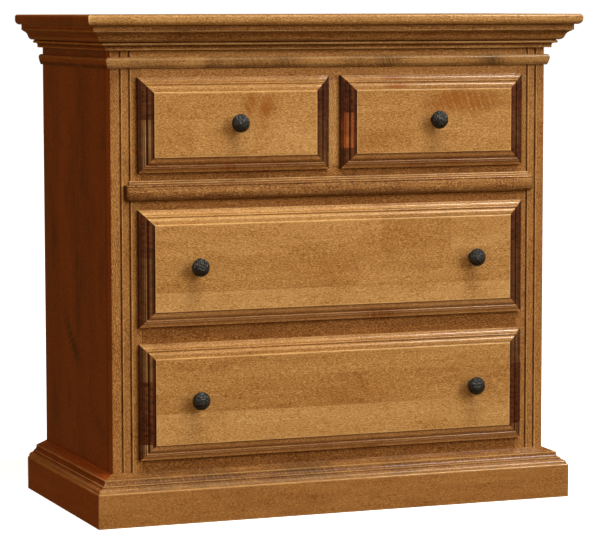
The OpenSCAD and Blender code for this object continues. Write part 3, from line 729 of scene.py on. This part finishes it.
def barPiece():
    b = bar
    low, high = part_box("middle_rail_moulding")
    halfBar = high.x / mm
    r = b["endRound"]
    figures = figureIn(b["figure"])
    board = woodBoard(0, 0.0, 0.8)
    rows = []
    rowMarks = []
    for o, u in divided(barOutline((case["front"] - low.y) / mm), b["step"]):
        short = r - math.sqrt(max(0.0, r * r - max(0.0, r - u) ** 2))
        rows.append(roundedEndRow(halfBar - short, max(o, b["leastOut"]), low.z + u * mm))
        # painted shade: darker towards the bottom of the bar, where it faces down
        rowMarks.append((b["shadeGlaze"] * min(1.0, 2 * max(0.0, 1 - u / b["shadeHigh"])), 0.0))
    # painted shade on the round of each end, and more so on the left one, which faces away from the light
    marks = []
    for x, y, z in rows[len(rows) // 2]:
        ends = max(0.0, (abs(x) / mm - halfBar + r) / r)
        marks.append((ends * b["leftEndShade" if x < 0 else "rightEndShade"], 0.0))
    shell = newShell()
    addRun(shell, rows, marks, lambda p: board, figures, rowMarks=rowMarks)
    # the reeds' strip reaches down behind the bar
    stripTop = (high.z - low.z) / mm
    reed = (stripTop - b["high"]) / 4
    middle = b["reedOut"] - reed
    reeds = divided(
        [(0.0, b["high"] / 2), (middle, b["high"] / 2)]
        + arc(middle, b["high"] + reed, reed, -90, 90, 8)
        + arc(middle, b["high"] + 3 * reed, reed, -90, 90, 8) + [(0.0, stripTop)], b["reedStep"])
    halfStrip = halfBar - b["reedInset"]
    rows = [[(x * mm, case["front"] - o * mm, low.z + u * mm) for o, u in reeds]
            for x in stationsBetween(-halfStrip, halfStrip, b["reedStation"], b["reedMargin"])]
    addRun(shell, rows, edgeMarks(reeds), lambda p: board, figures)
    finishShell(shell, "middle_rail_moulding", mouldingMaple)


barPiece()
print("chest: bar on the middle rail made")


# boards of the face frame

frameParts = {
    "soft": 0.2, "jointGlaze": 1.0, "grooveWide": 3.2, "grooveDeep": 2.4, "grooves": (18.0, 34.0),
    "grooveLip": 0.9, "lipGlazed": 0.4, "cornerRound": 2.0, "arris": 0.45,
    "arrisFrom": 0.6, "arrisReach": 2.6, "arrisHighlight": 0.8, "stileTone": 0.10, "deepFrom": 0.4,
    "step": 2.0, "station": 20.0, "margin": 2.0,
    "plankStep": 4.0, "plankStation": 14.0, "plankMargin": 1.0,
}


def stilePiece(side, way):
    f = frameParts
    node = f"stile_{side}"
    low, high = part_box(node)
    half = case["half"] / mm
    inner = min(abs(low.x), abs(high.x)) / mm
    thick = (high.y - low.y) / mm
    g, d, lip, r = f["grooveWide"] / 2, f["grooveDeep"], f["grooveLip"], f["cornerRound"]
    plan = [(inner, thick), (inner, 0.0)]
    middles = sorted(half - inset for inset in f["grooves"])
    for x in middles:
        plan += [(x - g - lip, 0.0), (x - g, 0.0), (x, d), (x + g, 0.0), (x + g + lip, 0.0)]
    plan += arc(half - r, r, r, -90, 0, 5) + [(half, thick)]
    plan = divided(softened(plan, f["arris"]), f["step"])
    # glaze and painted shade lie in the grooves and on their lips, and the wood to the right of each one
    # carries a painted highlight
    marks = []
    for x, y in plan:
        inGroove = y < d + 0.1 and any(abs(x - m) < g + f["lipGlazed"] for m in middles)
        beside = y < 0.2 and any(f["arrisFrom"] < way * (x - m) - g < f["arrisReach"] for m in middles)
        marks.append((1.0 if inGroove else 0.0, f["arrisHighlight"] if beside else 0.0))
    board = woodBoard(2, f["stileTone"])
    rows = [[(way * x * mm, low.y + y * mm, z) for x, y in plan]
            for z in stationsBetween(low.z, high.z, f["station"] * mm, f["margin"] * mm)]
    # the rounded corner takes the deep stain of the sides
    roundFrom = case["half"] - f["deepFrom"] * r * mm
    shell = newShell()
    addRun(shell, rows, marks, lambda p: board, deepAt=lambda p: 1.0 if abs(p.x) > roundFrom else 0.0)
    finishShell(shell, node, frameMaple)


def plank(node, along, tone):
    # a board with eased edges, filling its node's box: grain along one axis
    low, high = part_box(node)
    board = woodBoard(along, tone)
    f = frameParts
    soft = f["soft"]
    second, third = [axis for axis in range(3) if axis != along]
    wide = (high[second] - low[second]) / mm
    tall = (high[third] - low[third]) / mm
    outline = softened([(0, 0), (wide, 0), (wide, tall), (0, tall)], soft, True)
    outline = divided(outline, f["plankStep"], True)
    rows = []
    ends = stationsBetween(low[along], high[along], f["plankStation"] * mm, f["plankMargin"] * mm)
    for k, s in enumerate(ends):
        shrink = soft * mm if k in (0, len(ends) - 1) else 0.0
        row = []
        for point in outline:
            p = [s, s, s]
            for axis, v in zip((second, third), point):
                p[axis] = min(max(low[axis] + v * mm, low[axis] + shrink), high[axis] - shrink)
            row.append(tuple(p))
        rows.append(row)
    shell = newShell()
    addRun(shell, rows, [(0.0, 0.0)] * len(outline), lambda p: board, closed=True,
           rowMarks=endsMarked(len(rows), f["jointGlaze"]))
    finishShell(shell, node, frameMaple)


for side, way in ways.items():
    stilePiece(side, way)
plank("top_rail", 0, 0.16)
plank("middle_rail", 0, 0.0)
plank("lower_rail", 0, -0.08)
plank("bottom_rail", 0, -0.13)
plank("drawer_divider", 2, 0.32)
print("chest: face frame made")


# panels made of rings round a field: drawer fronts and the top board

ringRules = {
    # glaze and painted shade change from the left to the right half of the chest
    "turnOver": 0.12,  # so far right of the middle, in m, the glaze has changed to its right value
    "endShown": 0.9,  # a side with more end grain than this takes stain as its board's end does
    # rubbed beads on the end grain are rubbed wear and painted highlight
    "rubLeast": 0.15, "rubGain": 5.0,  # end grain that drinks less stain shows its rubbed beads more
}


def addRings(shell, rings, columns, rows, low, high, place, boardAt, back, looks, figureAt=noFigure):
    # each ring: inset left, right, bottom, top and a depth; columns and rows are lines of the field
    made = []
    for left, right, bottom, top, depth in rings:
        x0, x1, y0, y1 = low[0] + left, high[0] - right, low[1] + bottom, high[1] - top
        points = [(x, y0) for x in (x0, *columns)] + [(x1, y) for y in (y0, *rows)]
        points += [(x, y1) for x in (x1, *reversed(columns))] + [(x0, y) for y in (y1, *reversed(rows))]
        made.append((points, depth))
    across, up = len(columns) + 1, len(rows) + 1
    sides = ["bottom"] * across + ["right"] * up + ["top"] * across + ["left"] * up
    innermost = made[-1][0]
    count = len(sides)
    for k in range(len(made) - 1):
        (pointsA, depthA), (pointsB, depthB) = made[k], made[k + 1]
        for i in range(count):
            j = (i + 1) % count
            starts, ends = sides[i] != sides[i - 1], sides[j] != sides[i]
            corners = [place(*pointsA[i], depthA), place(*pointsA[j], depthA),
                       place(*pointsB[j], depthB), place(*pointsB[i], depthB)]
            outer = between(pointsA[i], pointsA[j], 0.5)
            probe = outer
            if sides[i] in ("left", "right") and not starts and not ends:
                probe = between(innermost[i], innermost[j], 0.5)
            board = boardAt(*probe)
            look = looks[sides[i]]
            leftHold, rightHold = look.get("glaze", (1.0, 1.0))
            hold = leftHold + (rightHold - leftHold) * min(1.0, max(0.0, outer[0] / ringRules["turnOver"]))
            rub, deep = 1.0, look.get("deep")
            if look["endGrain"] > ringRules["endShown"]:
                rub = min(1.0, ringRules["rubLeast"] + ringRules["rubGain"] * (1 - board["endTone"]))
                deep = board["endDeep"]
            held = [look["marks"][ring] for ring in (k, k, k + 1, k + 1)]
            glaze = [glazed * hold for glazed, rubbed in held]
            worn = [rubbed * rub for glazed, rubbed in held]
            if starts:
                worn[0] = worn[3] = max(worn[0], look.get("startLightLine", 0.0))
            if ends:
                worn[1] = worn[2] = max(worn[1], look.get("endLightLine", 0.0))
            addFace(shell, corners, board, glaze, worn, look["endGrain"] * board["endTone"], deep,
                    [figureAt(c) for c in corners])
    left, right, bottom, top, depth = rings[-1]
    xs = [low[0] + left, *columns, high[0] - right]
    ys = [low[1] + bottom, *rows, high[1] - top]
    # the field's edges take the top border's arris mark: rubbed wear and a painted highlight line
    arris = looks["top"]["marks"][-1][1]
    for x0, x1 in zip(xs, xs[1:]):
        for y0, y1 in zip(ys, ys[1:]):
            flat = ((x0, y0), (x1, y0), (x1, y1), (x0, y1))
            corners = [place(x, y, depth) for x, y in flat]
            worn = [arris if x in (xs[0], xs[-1]) or y in (ys[0], ys[-1]) else 0.0 for x, y in flat]
            addFace(shell, corners, boardAt((x0 + x1) / 2, (y0 + y1) / 2), 0.0, worn, 0.0,
                    figure=[figureAt(c) for c in corners])
    points, depth = made[0]
    addFace(shell, [place(x, y, depth) for x, y in points], back, endGrain=0.0)


def linesBetween(low, high, step, extra, skip=0.002):
    # even lines, plus the seams, plus a line close to both ends
    pieces = max(2, round((high - low) / step))
    lines = [low + (high - low) * i / pieces for i in range(1, pieces)] + [low + skip, high - skip]
    lines = [v for v in lines if all(abs(v - e) > 0.25 * step for e in extra)]
    return sorted(lines + [e for e in extra if low + skip < e < high - skip])


drawerFront = {
    "lip": 7.5, "lipRound": 0.8, "border": 25.5, "cove": 8.0, "bead": 1.7, "quirk": 0.6, "round": 6.5,
    "stepWide": 1.0, "stepHigh": 2.2, "turn": 30.0, "soft": 0.5,
    "outlineStep": 1.4, "markReach": 2.0, "fieldShown": 6.0, "arrisWide": 0.7, "mesh": 12.0,
}

# glaze and painted light on the four sides of a border: glaze and painted shade in the hollows, painted
# shade over all (most on the bottom, which faces down), glaze and painted shade in the cove, how far beads
# and the arris of the field are rubbed and carry a painted highlight
borderGlazeAndLight = {
    "top": (0.55, 0.06, 0.0, 0.05, 0.7),
    "bottom": (0.9, 0.53, 0.15, 0.10, 0.3),
    "left": (1.1, 0.04, 0.90, 0.60, 0.0),
    "right": (1.1, 0.40, 0.40, 0.30, 0.0),
}

# wood of the four sides: how much end grain shows, how much of the sides' deep stain, how strong the
# glaze and painted shade are in the left and in the right half of the chest, how far the side's end carries
# a painted highlight at its mitre
borderLooks = {
    "top": {"endGrain": 0.0, "glaze": (0.25, 2.4), "endLightLine": 0.3},
    "bottom": {"endGrain": 0.12, "deep": 0.2},
    "left": {"endGrain": 1.0, "glaze": (2.1, 2.1)},
    "right": {"endGrain": 1.0, "glaze": (2.1, 2.1)},
}

# bands of painted shade and painted highlight along the two end-grain sides: from and to in mm from the
# edge, glaze and painted shade, how far they are rubbed and lit
borderShadeBands = {
    "left": [(0.0, 5.0, 1.0, 0.0), (5.0, 9.9, 0.0, 0.22), (12.2, 15.6, 1.0, 0.0),
             (16.4, 19.5, 0.0, 0.28), (20.6, 26.0, 1.0, 0.0)],
    "right": [(2.0, 4.2, 0.9, 0.0), (23.6, 26.0, 1.0, 0.0)],
}

# boards glued up into each front, from the bottom: top height of the board, then staves as
# (right end, tone, end tone); marks are soft figure in the wood
upTo = 9.9
glueUps = {
    "upper_left_drawer": {
        "rows": [(0.627, [(upTo, -0.10, 0.88)]),
                 (0.688, [(-0.262, -0.04, 0.86), (-0.16, 0.01, 0.86), (upTo, 0.05, 0.95)]),
                 (0.749, [(upTo, -0.03, 1.0)]),
                 (upTo, [(upTo, -0.07, 1.0)])],
        "marks": [(-0.159, 0.712, 0.009, 0.020, 0.95, 0.15), (-0.130, 0.706, 0.010, 0.022, 1.10, 0.25),
                  (-0.22, 0.655, 0.02, 0.03, 0.10, 0.5), (-0.195, 0.604, 0.010, 0.008, 1.2, 0)],
    },
    "upper_right_drawer": {
        "rows": [(0.634, [(upTo, -0.05, 1.0)]),
                 (0.695, [(0.14, -0.10, 0.22), (upTo, 0.0, 0.95)]),
                 (0.756, [(0.16, -0.08, 1.05), (upTo, -0.07, 1.0)]),
                 (upTo, [(upTo, -0.15, 1.0)])],
        "marks": [(0.215, 0.714, 0.035, 0.020, 0.90, 0.9), (0.272, 0.708, 0.030, 0.016, 0.75, 0.5),
                  (0.07, 0.648, 0.05, 0.012, 0.30, 1.6), (0.225, 0.609, 0.014, 0.006, 0.9, 0),
                  (0.110, 0.754, 0.014, 0.0025, 2.4, 0), (0.113, 0.740, 0.014, 0.0025, 2.6, 0),
                  (0.020, 0.641, 0.009, 0.012, -3.5, 0)],
    },
    "middle_drawer": {
        "rows": [(0.394, [(upTo, 0.09, 0.96)]),
                 (0.455, [(0.043, -0.05, 0.95), (upTo, -0.02, 0.95)]),
                 (0.516, [(0.084, 0.03, 1.0), (0.215, -0.09, 1.0), (upTo, -0.02, 1.0)]),
                 (upTo, [(upTo, 0.05, 1.0)])],
        "marks": [(-0.02, 0.425, 0.05, 0.02, 0.14, 0.4), (0.10, 0.48, 0.06, 0.03, 0.16, 0.6),
                  (0.086, 0.539, 0.016, 0.007, 1.2, 0), (0.130, 0.541, 0.010, 0.006, 0.8, 0),
                  (0.085, 0.344, 0.03, 0.010, 0.9, 0)],
    },
    "lower_drawer": {
        "rows": [(0.132, [(upTo, 0.02, 0.80)]),
                 (0.187, [(upTo, 0.08, 1.1)]),
                 (0.244, [(upTo, -0.05, 1.0)]),
                 (upTo, [(upTo, -0.03, 0.88)])],
        "marks": [(0.02, 0.205, 0.09, 0.012, 0.14, 1.5), (0.0, 0.22, 0.20, 0.03, 0.08, 0),
                  (0.060, 0.106, 0.022, 0.008, 0.8, 0), (0.205, 0.297, 0.004, 0.006, 0.9, 0)],
    },
}


def borderOutline(thick):
    d = drawerFront
    turn = math.sin(math.radians(d["turn"]))
    beadIn = d["lipRound"] + d["cove"] + d["bead"] + d["quirk"]
    beadUp = d["lip"] + d["cove"] * (1 - turn) - d["quirk"]
    roundIn = beadIn + d["bead"] + d["quirk"] + d["round"]
    roundUp = thick - d["stepHigh"] - d["round"]
    return (
        [(0, 0)] + arc(d["lipRound"], d["lip"] - d["lipRound"], d["lipRound"], 180, 90, 4)
        + arc(d["lipRound"], d["lip"] + d["cove"], d["cove"], -90, -d["turn"], 10)
        + arc(beadIn, beadUp, d["bead"], 180, 0, 10)
        + arc(roundIn, roundUp, d["round"], 180 - d["turn"], 90, 10)
        + [(d["border"] - d["stepWide"], thick - d["stepHigh"]), (d["border"], thick)]
    )


def drawerFrontPiece(name):
    d = drawerFront
    low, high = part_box(f"{name}_front")
    sideLow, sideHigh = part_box(f"{name}_side_left")
    lipBack = sideLow.y
    thick = (lipBack - low.y) / mm
    block = (sideHigh.x - low.x, high.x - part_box(f"{name}_side_right")[0].x,
             sideLow.z - low.z, high.z - sideHigh.z)
    glue = glueUps[name]
    boards = [(top, [(end, woodBoard(0, tone, endTone)) for end, tone, endTone in staves])
              for top, staves in glue["rows"]]

    def boardAt(x, z):
        staves = next(staves for top, staves in boards if z < top)
        return next(board for end, board in staves if x < end)

    # softened border with a stretch of field added, so that the field's edge is marked as an edge
    shape = softened(borderOutline(thick) + [(d["border"] + d["fieldShown"], thick)], d["soft"])
    shape = divided(shape, d["outlineStep"])
    border = [(point, marks) for point, marks in zip(shape, edgeMarks(shape, d["markReach"]))
              if point[0] <= d["border"] + d["soft"] + tiny]
    edge = border[-1][0][0] * mm
    rings = [(*block, high.y), (*block, lipBack)]
    rings += [(a * mm, a * mm, a * mm, a * mm, lipBack - b * mm) for (a, b), marks in border]

    def marksFor(side):
        hollow, shadeFilm, cove, bead, arris = borderGlazeAndLight[side]
        marks = [(0.0, 0.0), (0.0, 0.0)]
        for (a, b), (held, worn) in border:
            glaze = held * hollow + (cove if d["lipRound"] < a < d["cove"] else shadeFilm)
            rub = arris if a > d["border"] - d["arrisWide"] else worn * bead
            for start, end, bandDark, bandLight in borderShadeBands.get(side, []):
                if start <= a < end:
                    glaze, rub = bandDark, bandLight
            marks.append((min(1.0, glaze), rub))
        return marks

    seams = [top for top, staves in glue["rows"] if top < upTo]
    splits = sorted({stave[0] for top, staves in glue["rows"] for stave in staves if stave[0] < upTo})
    columns = linesBetween(low.x + edge, high.x - edge, d["mesh"] * mm, splits)
    rows = linesBetween(low.z + edge, high.z - edge, d["mesh"] * mm, seams)
    back = boardAt((low.x + high.x) / 2, (low.z + high.z) / 2)
    looks = {side: {**look, "marks": marksFor(side)} for side, look in borderLooks.items()}
    shell = newShell()
    addRings(shell, rings, columns, rows, (low.x, low.z), (high.x, high.z),
             lambda x, z, y: (x, y, z), boardAt, back, looks, figureIn(glue["marks"]))
    finishShell(shell, f"{name}_front", fieldMaple, name)


for name in glueUps:
    drawerFrontPiece(name)
print("chest: drawer fronts made")


# top board, rounded along its front and sides: tones of its boards from the front to the back

topBoard = {
    "tones": (0.10, -0.05, 0.04, 0.0, 0.06), "endTone": 0.8, "endSwing": 0.2, "mesh": 16.0,
    # a light line runs down the front-left corner of the edge
    "edgeRound": 4.5, "underRound": 8.5, "endGrain": 0.15, "cornerLightLine": 1.0,
}


def topPiece():
    t = topBoard
    low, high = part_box("top_board")
    tones = t["tones"]
    width = (high.y - low.y) / len(tones)
    boards = [woodBoard(0, tone, t["endTone"] + t["endSwing"] * math.cos(7 * i))
              for i, tone in enumerate(tones)]

    def boardAt(x, y):
        return boards[min(len(boards) - 1, max(0, int((y - low.y) / width)))]

    thick = (high.z - low.z) / mm
    r, under = t["edgeRound"], t["underRound"]
    edge = arc(-under, under, under, -90, 0, 9) + arc(-r, thick - r, r, 0, 90, 7)
    rings = [(-a * mm, -a * mm, -a * mm, 0.0, low.z + b * mm) for a, b in edge]
    columns = linesBetween(low.x + r * mm, high.x - r * mm, t["mesh"] * mm, [])
    seams = [low.y + width * i for i in range(1, len(tones))]
    rows = linesBetween(low.y + r * mm, high.y, t["mesh"] * mm, seams)
    marks = [(0.0, 0.0)] * len(rings)
    ends = {"endGrain": t["endGrain"], "deep": 1.0, "marks": marks}
    looks = {
        "bottom": {"endGrain": 0.0, "startLightLine": t["cornerLightLine"], "marks": marks},
        "top": {"endGrain": 0.0, "marks": marks}, "left": ends, "right": ends,
    }
    shell = newShell()
    addRings(shell, rings, columns, rows, (low.x, low.y), (high.x, high.y),
             lambda x, y, z: (x, y, z), boardAt, boards[0], looks)
    finishShell(shell, "top_board", topMaple)


topPiece()
print("chest: top board made")


# side panels: upright boards, rebated at the back, with soft darker figure and a painted shadow band under
# the crown

sidePanel = {
    "tones": (0.0, -0.06, 0.04, -0.03), "rebateDeep": 6.0, "rebateWide": 9.0, "soft": 0.8,
    "jointGlaze": 0.9, "jointWide": 1.6, "step": 9.0, "station": 12.0, "margin": 2.0,
    "figure": [(0.062, 0.295, 0.016, 0.030, 1.8, 0.9), (0.030, 0.272, 0.016, 0.022, 1.3, 1.2),
               (0.085, 0.330, 0.020, 0.050, 0.7, 0.3), (-0.107, 0.158, 0.030, 0.020, 1.0, 1.2),
               (0.045, 0.56, 0.035, 0.16, 0.35, 0.1), (-0.149, 0.458, 0.008, 0.05, 0.6, 0),
               (-0.06, 0.40, 0.03, 0.16, 0.25, 0.05), (0.15, 0.36, 0.02, 0.20, 0.4, 0.05),
               # the last mark is painted shadow: a dark band along the top of the side, under the crown
               (0.0, 0.80, 0.40, 0.009, 1.1, 0.0)],
}


def sidePiece(side, way):
    s = sidePanel
    low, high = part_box(f"side_panel_{side}")
    outer = case["half"] / mm
    inner = min(abs(low.x), abs(high.x)) / mm
    y0, y1 = low.y / mm, high.y / mm
    rebate = y1 - s["rebateDeep"]
    plan = [(inner, rebate), (inner, y0), (outer, y0), (outer, y1), (inner + s["rebateWide"], y1),
            (inner + s["rebateWide"], rebate)]
    plan = divided(softened(plan, s["soft"]), s["step"])
    wide = (high.y - low.y) / len(s["tones"])
    boards = [woodBoard(2, tone, deep=1.0) for tone in s["tones"]]
    joint = y0 + s["jointWide"]
    marks = [(s["jointGlaze"] if x > outer - 0.1 and y < joint else 0.0, 0.0) for x, y in plan]
    rows = [[(way * x * mm, y * mm, z) for x, y in plan]
            for z in stationsBetween(low.z, high.z, s["station"] * mm, s["margin"] * mm)]

    def boardAt(p):
        return boards[min(len(boards) - 1, max(0, int((p[1] - low.y) / wide)))]

    shell = newShell()
    addRun(shell, rows, marks, boardAt, figureIn(s["figure"], across=1))
    finishShell(shell, f"side_panel_{side}", sideMaple)


for side, way in ways.items():
    sidePiece(side, way)
print("chest: side panels made")


# knobs, turned and then hammered

knob = {
    "crown": 8.0, "rim": 5.0, "backWide": 25.0, "footWide": 17.0, "footThick": 3.0, "neckWide": 12.0,
    "soft": 1.1, "edgeIn": 0.9, "edgeUp": 1.2, "segments": 96, "worn": 0.8, "wornFall": 2.2,
    "dimple": 2.6, "dimpleDeep": 0.5, "dimpleSteep": 1.6, "roughDeep": 0.08, "roughFine": 1.3,
    "blowFrom": 26.0, "blowFlat": 0.6,  # in front of the knob, where the blows come from
    "differ": (900, 700, 31),  # so that no two knobs have the same dents
}


def knobOutline(radius, out):
    k = knob
    rimUp = out - k["crown"] - k["rim"]
    foot, neck, thick = k["footWide"] / 2, k["neckWide"] / 2, k["footThick"]
    dome = (radius * radius + k["crown"] * k["crown"]) / (2 * k["crown"])
    half = math.degrees(math.asin(radius / dome))
    stem = [(0, 0), (foot, 0), (foot, thick / 2), (neck, thick), (neck, rimUp - thick),
            (k["backWide"] / 2, rimUp), (radius, rimUp + k["rim"] / 2), (radius, rimUp + k["rim"]),
            (radius * k["edgeIn"], out - k["crown"] + k["edgeUp"])]
    return divided(softened(stem, k["soft"])[:-1], 1.0) + arc(0, out - dome, dome, 90 - half, 90, 20)[1:]


def hammered(p):
    # how far the hammer pushed the metal in at a point, in mm
    near, far = noise.voronoi(p / knob["dimple"])[0][:2]
    dent = knob["dimpleDeep"] * min(1.0, (far - near) * knob["dimpleSteep"])
    return dent + knob["roughDeep"] * (noise.noise(p * knob["roughFine"]) + 1)


def knobPiece(node, body, count):
    k = knob
    low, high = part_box(node)
    radius = (high.z - low.z) / 2 / mm
    out = (high.y - low.y) / mm
    middleZ = (low.z + high.z) / 2
    work = bmesh.new()
    wornLayer = work.verts.layers.float.new("worn")
    across, up, later = k["differ"]
    flat = k["blowFlat"]
    for number, cx in enumerate([low.x + radius * mm, high.x - radius * mm][:count]):
        differ = Vector((later * number + cx * across, middleZ * up, 0))
        rings = []
        for r, h in knobOutline(radius, out):
            onHead = h > out - k["crown"] - 0.5 * k["rim"]
            ring = []
            for s in range(k["segments"] if r > tiny else 1):
                t = 2 * math.pi * s / k["segments"]
                p = Vector((r * math.cos(t), h, r * math.sin(t)))
                push = hammered(p + differ) if onHead else 0.0
                p -= Vector((flat * p.x, h - out + k["blowFrom"], flat * p.z)).normalized() * push
                vert = work.verts.new((cx + p.x * mm, high.y - p.y * mm, middleZ + p.z * mm))
                vert[wornLayer] = max(0.0, k["worn"] - k["wornFall"] * push) if onHead else 0.0
                ring.append(vert)
            rings.append(ring)
        for a, b in zip(rings, rings[1:]):
            for s in range(k["segments"]):
                n = (s + 1) % k["segments"]
                corners = (a[s % len(a)], a[n % len(a)], b[n % len(b)], b[s % len(b)])
                work.faces.new(list(dict.fromkeys(corners)))
    mesh = bpy.data.meshes.new(f"{node}_iron")
    closeMesh(work, mesh)
    finishPiece(mesh, node, ironFinish, body)


knobNodes = {
    "upper_left_drawer_knob": ("upper_left_drawer", 1),
    "upper_right_drawer_knob": ("upper_right_drawer", 1),
    "middle_drawer_knobs": ("middle_drawer", 2),
    "lower_drawer_knobs": ("lower_drawer", 2),
}
for node, (body, count) in knobNodes.items():
    knobPiece(node, body, count)
print("chest: knobs made")


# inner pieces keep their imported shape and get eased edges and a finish

inner = {
    "alongX": rawMaple("inner_wood_x", (0, 2, 1), (214, 184, 138)),
    "alongY": rawMaple("inner_wood_y", (1, 2, 0), (210, 178, 130)),
    "boxX": rawMaple("drawer_box_wood_x", (0, 2, 1), (226, 198, 152)),
    "boxY": rawMaple("drawer_box_wood_y", (1, 2, 0), (224, 196, 150)),
    "ply": rawMaple("plywood", (2, 0, 1), (200, 164, 112)),
}


def dress(node, material, ease=0.5):
    # ease: width of the eased edges in mm
    piece = nodes[node]
    piece.data.materials.clear()
    piece.data.materials.append(material)
    if ease:
        bevel = piece.modifiers.new("eased_edges", "BEVEL")
        bevel.width = ease * mm
        bevel.segments = 2
        bevel.limit_method = "ANGLE"
        bevel.angle_limit = math.radians(60)


for node in ("sub_top_panel", "upper_dust_panel", "lower_dust_panel", "case_bottom_panel"):
    dress(node, inner["alongX"])
for node in ("centre_partition", "drawer_guides", "drawer_kickers"):
    dress(node, inner["alongY"])
dress("back_panel", inner["ply"])
dress("top_screws", steelFinish, 0)
for name in glueUps:
    for part in ("side_left", "side_right"):
        dress(f"{name}_{part}", inner["boxY"])
    dress(f"{name}_back", inner["boxX"])
    dress(f"{name}_bottom", inner["ply"], 0.3)
for body, count in knobNodes.values():
    dress(f"{body}_knob_screws" if count > 1 else f"{body}_knob_screw", steelFinish, 0)
print("chest: inner pieces dressed")


# studio: pale floor and backdrop; key and over light the wood without a gloss, gleam and glint show
# only as gloss on it, and a weak warm light stands at the left

studio = {
    "floorSize": 14.0, "domeSize": 30.0,
    "floorNear": (0.5, 0.90), "floorFar": (2.2, 1.1),  # distance from the middle, and the floor's glow there
    "backdrop": 1.05, "air": (0.145, 0.074, 0.018), "aim": (0.0, -0.15, 0.45),
}
lamps = {
    "key": {"place": (4.57, -8.06, 4.52), "size": (6.4, 6.4), "power": 690.0, "gloss": False},
    "over": {"place": (0.3, -1.7, 4.4), "size": (2.4, 1.2), "power": 140.0, "gloss": False},
    "gleam": {"place": (3.55, -4.06, 4.62), "size": (0.9, 3.0), "power": 520.0, "matt": False},
    "glint": {"place": (-3.6, -4.1, 4.2), "size": (1.1, 2.4), "power": 90.0, "matt": False},
    "side": {"place": (-3.4, -2.2, 1.4), "size": (1.6, 1.6), "power": 14.0, "aim": (-0.4, 0.0, 0.4),
             "colour": (1.0, 0.62, 0.34)},
}


def addLamp(name, lamp):
    data = bpy.data.lights.new(name, "AREA")
    data.energy = lamp["power"]
    data.color = lamp.get("colour", (1, 1, 1))
    data.shape = "RECTANGLE"
    data.size, data.size_y = lamp["size"]
    thing = addObject(name, data)
    thing.visible_diffuse = lamp.get("matt", True)
    thing.visible_glossy = lamp.get("gloss", True)
    thing.location = lamp["place"]
    aim = Vector(lamp.get("aim", studio["aim"]))
    thing.rotation_euler = (aim - thing.location).to_track_quat("-Z", "Y").to_euler()


def paleFloor():
    # pale near the chest, where its shadow lies, and plain white farther off
    material, tree = newMaterial("pale_floor")
    place = put(tree, "ShaderNodeTexCoord").outputs["Object"]
    away = vectorCalc(tree, "LENGTH", place, output="Value")
    (near, dim), (far, bright) = studio["floorNear"], studio["floorFar"]
    glow = {"Color": (1, 1, 1, 1), "Strength": ramped(tree, away, near, far, dim, bright)}
    glow = put(tree, "ShaderNodeEmission", glow).outputs[0]
    diffuse = put(tree, "ShaderNodeBsdfDiffuse", {"Color": (0.8, 0.8, 0.8, 1)}).outputs[0]
    both = put(tree, "ShaderNodeAddShader", {0: diffuse, 1: glow}).outputs[0]
    put(tree, "ShaderNodeOutputMaterial", {0: both})
    return material


def whiteGlow():
    material, tree = newMaterial("white_backdrop")
    glow = put(tree, "ShaderNodeEmission", {"Color": (1, 1, 1, 1), "Strength": studio["backdrop"]})
    put(tree, "ShaderNodeOutputMaterial", {0: glow.outputs[0]})
    return material


def addStage(name, work, material):
    # seen by the camera and catching shadow, but throwing no light on the chest
    mesh = bpy.data.meshes.new(name)
    work.to_mesh(mesh)
    work.free()
    mesh.materials.append(material)
    piece = addObject(name, mesh)
    piece.visible_diffuse = False
    piece.visible_glossy = False
    piece.visible_transmission = False
    return piece


def addStudio():
    work = bmesh.new()
    bmesh.ops.create_grid(work, x_segments=1, y_segments=1, size=studio["floorSize"])
    addStage("floor", work, paleFloor())
    work = bmesh.new()
    bmesh.ops.create_uvsphere(work, u_segments=48, v_segments=24, radius=studio["domeSize"])
    addStage("backdrop", work, whiteGlow()).visible_shadow = False
    for name, lamp in lamps.items():
        addLamp(name, lamp)
    world = bpy.data.worlds.new("studio")
    bpy.context.scene.world = world
    world.use_nodes = True
    world.node_tree.nodes["Background"].inputs[0].default_value = (*studio["air"], 1)
    world.node_tree.nodes["Background"].inputs[1].default_value = 1.0
    bpy.context.scene.view_settings.view_transform = "Standard"


addStudio()
print("chest: studio set")
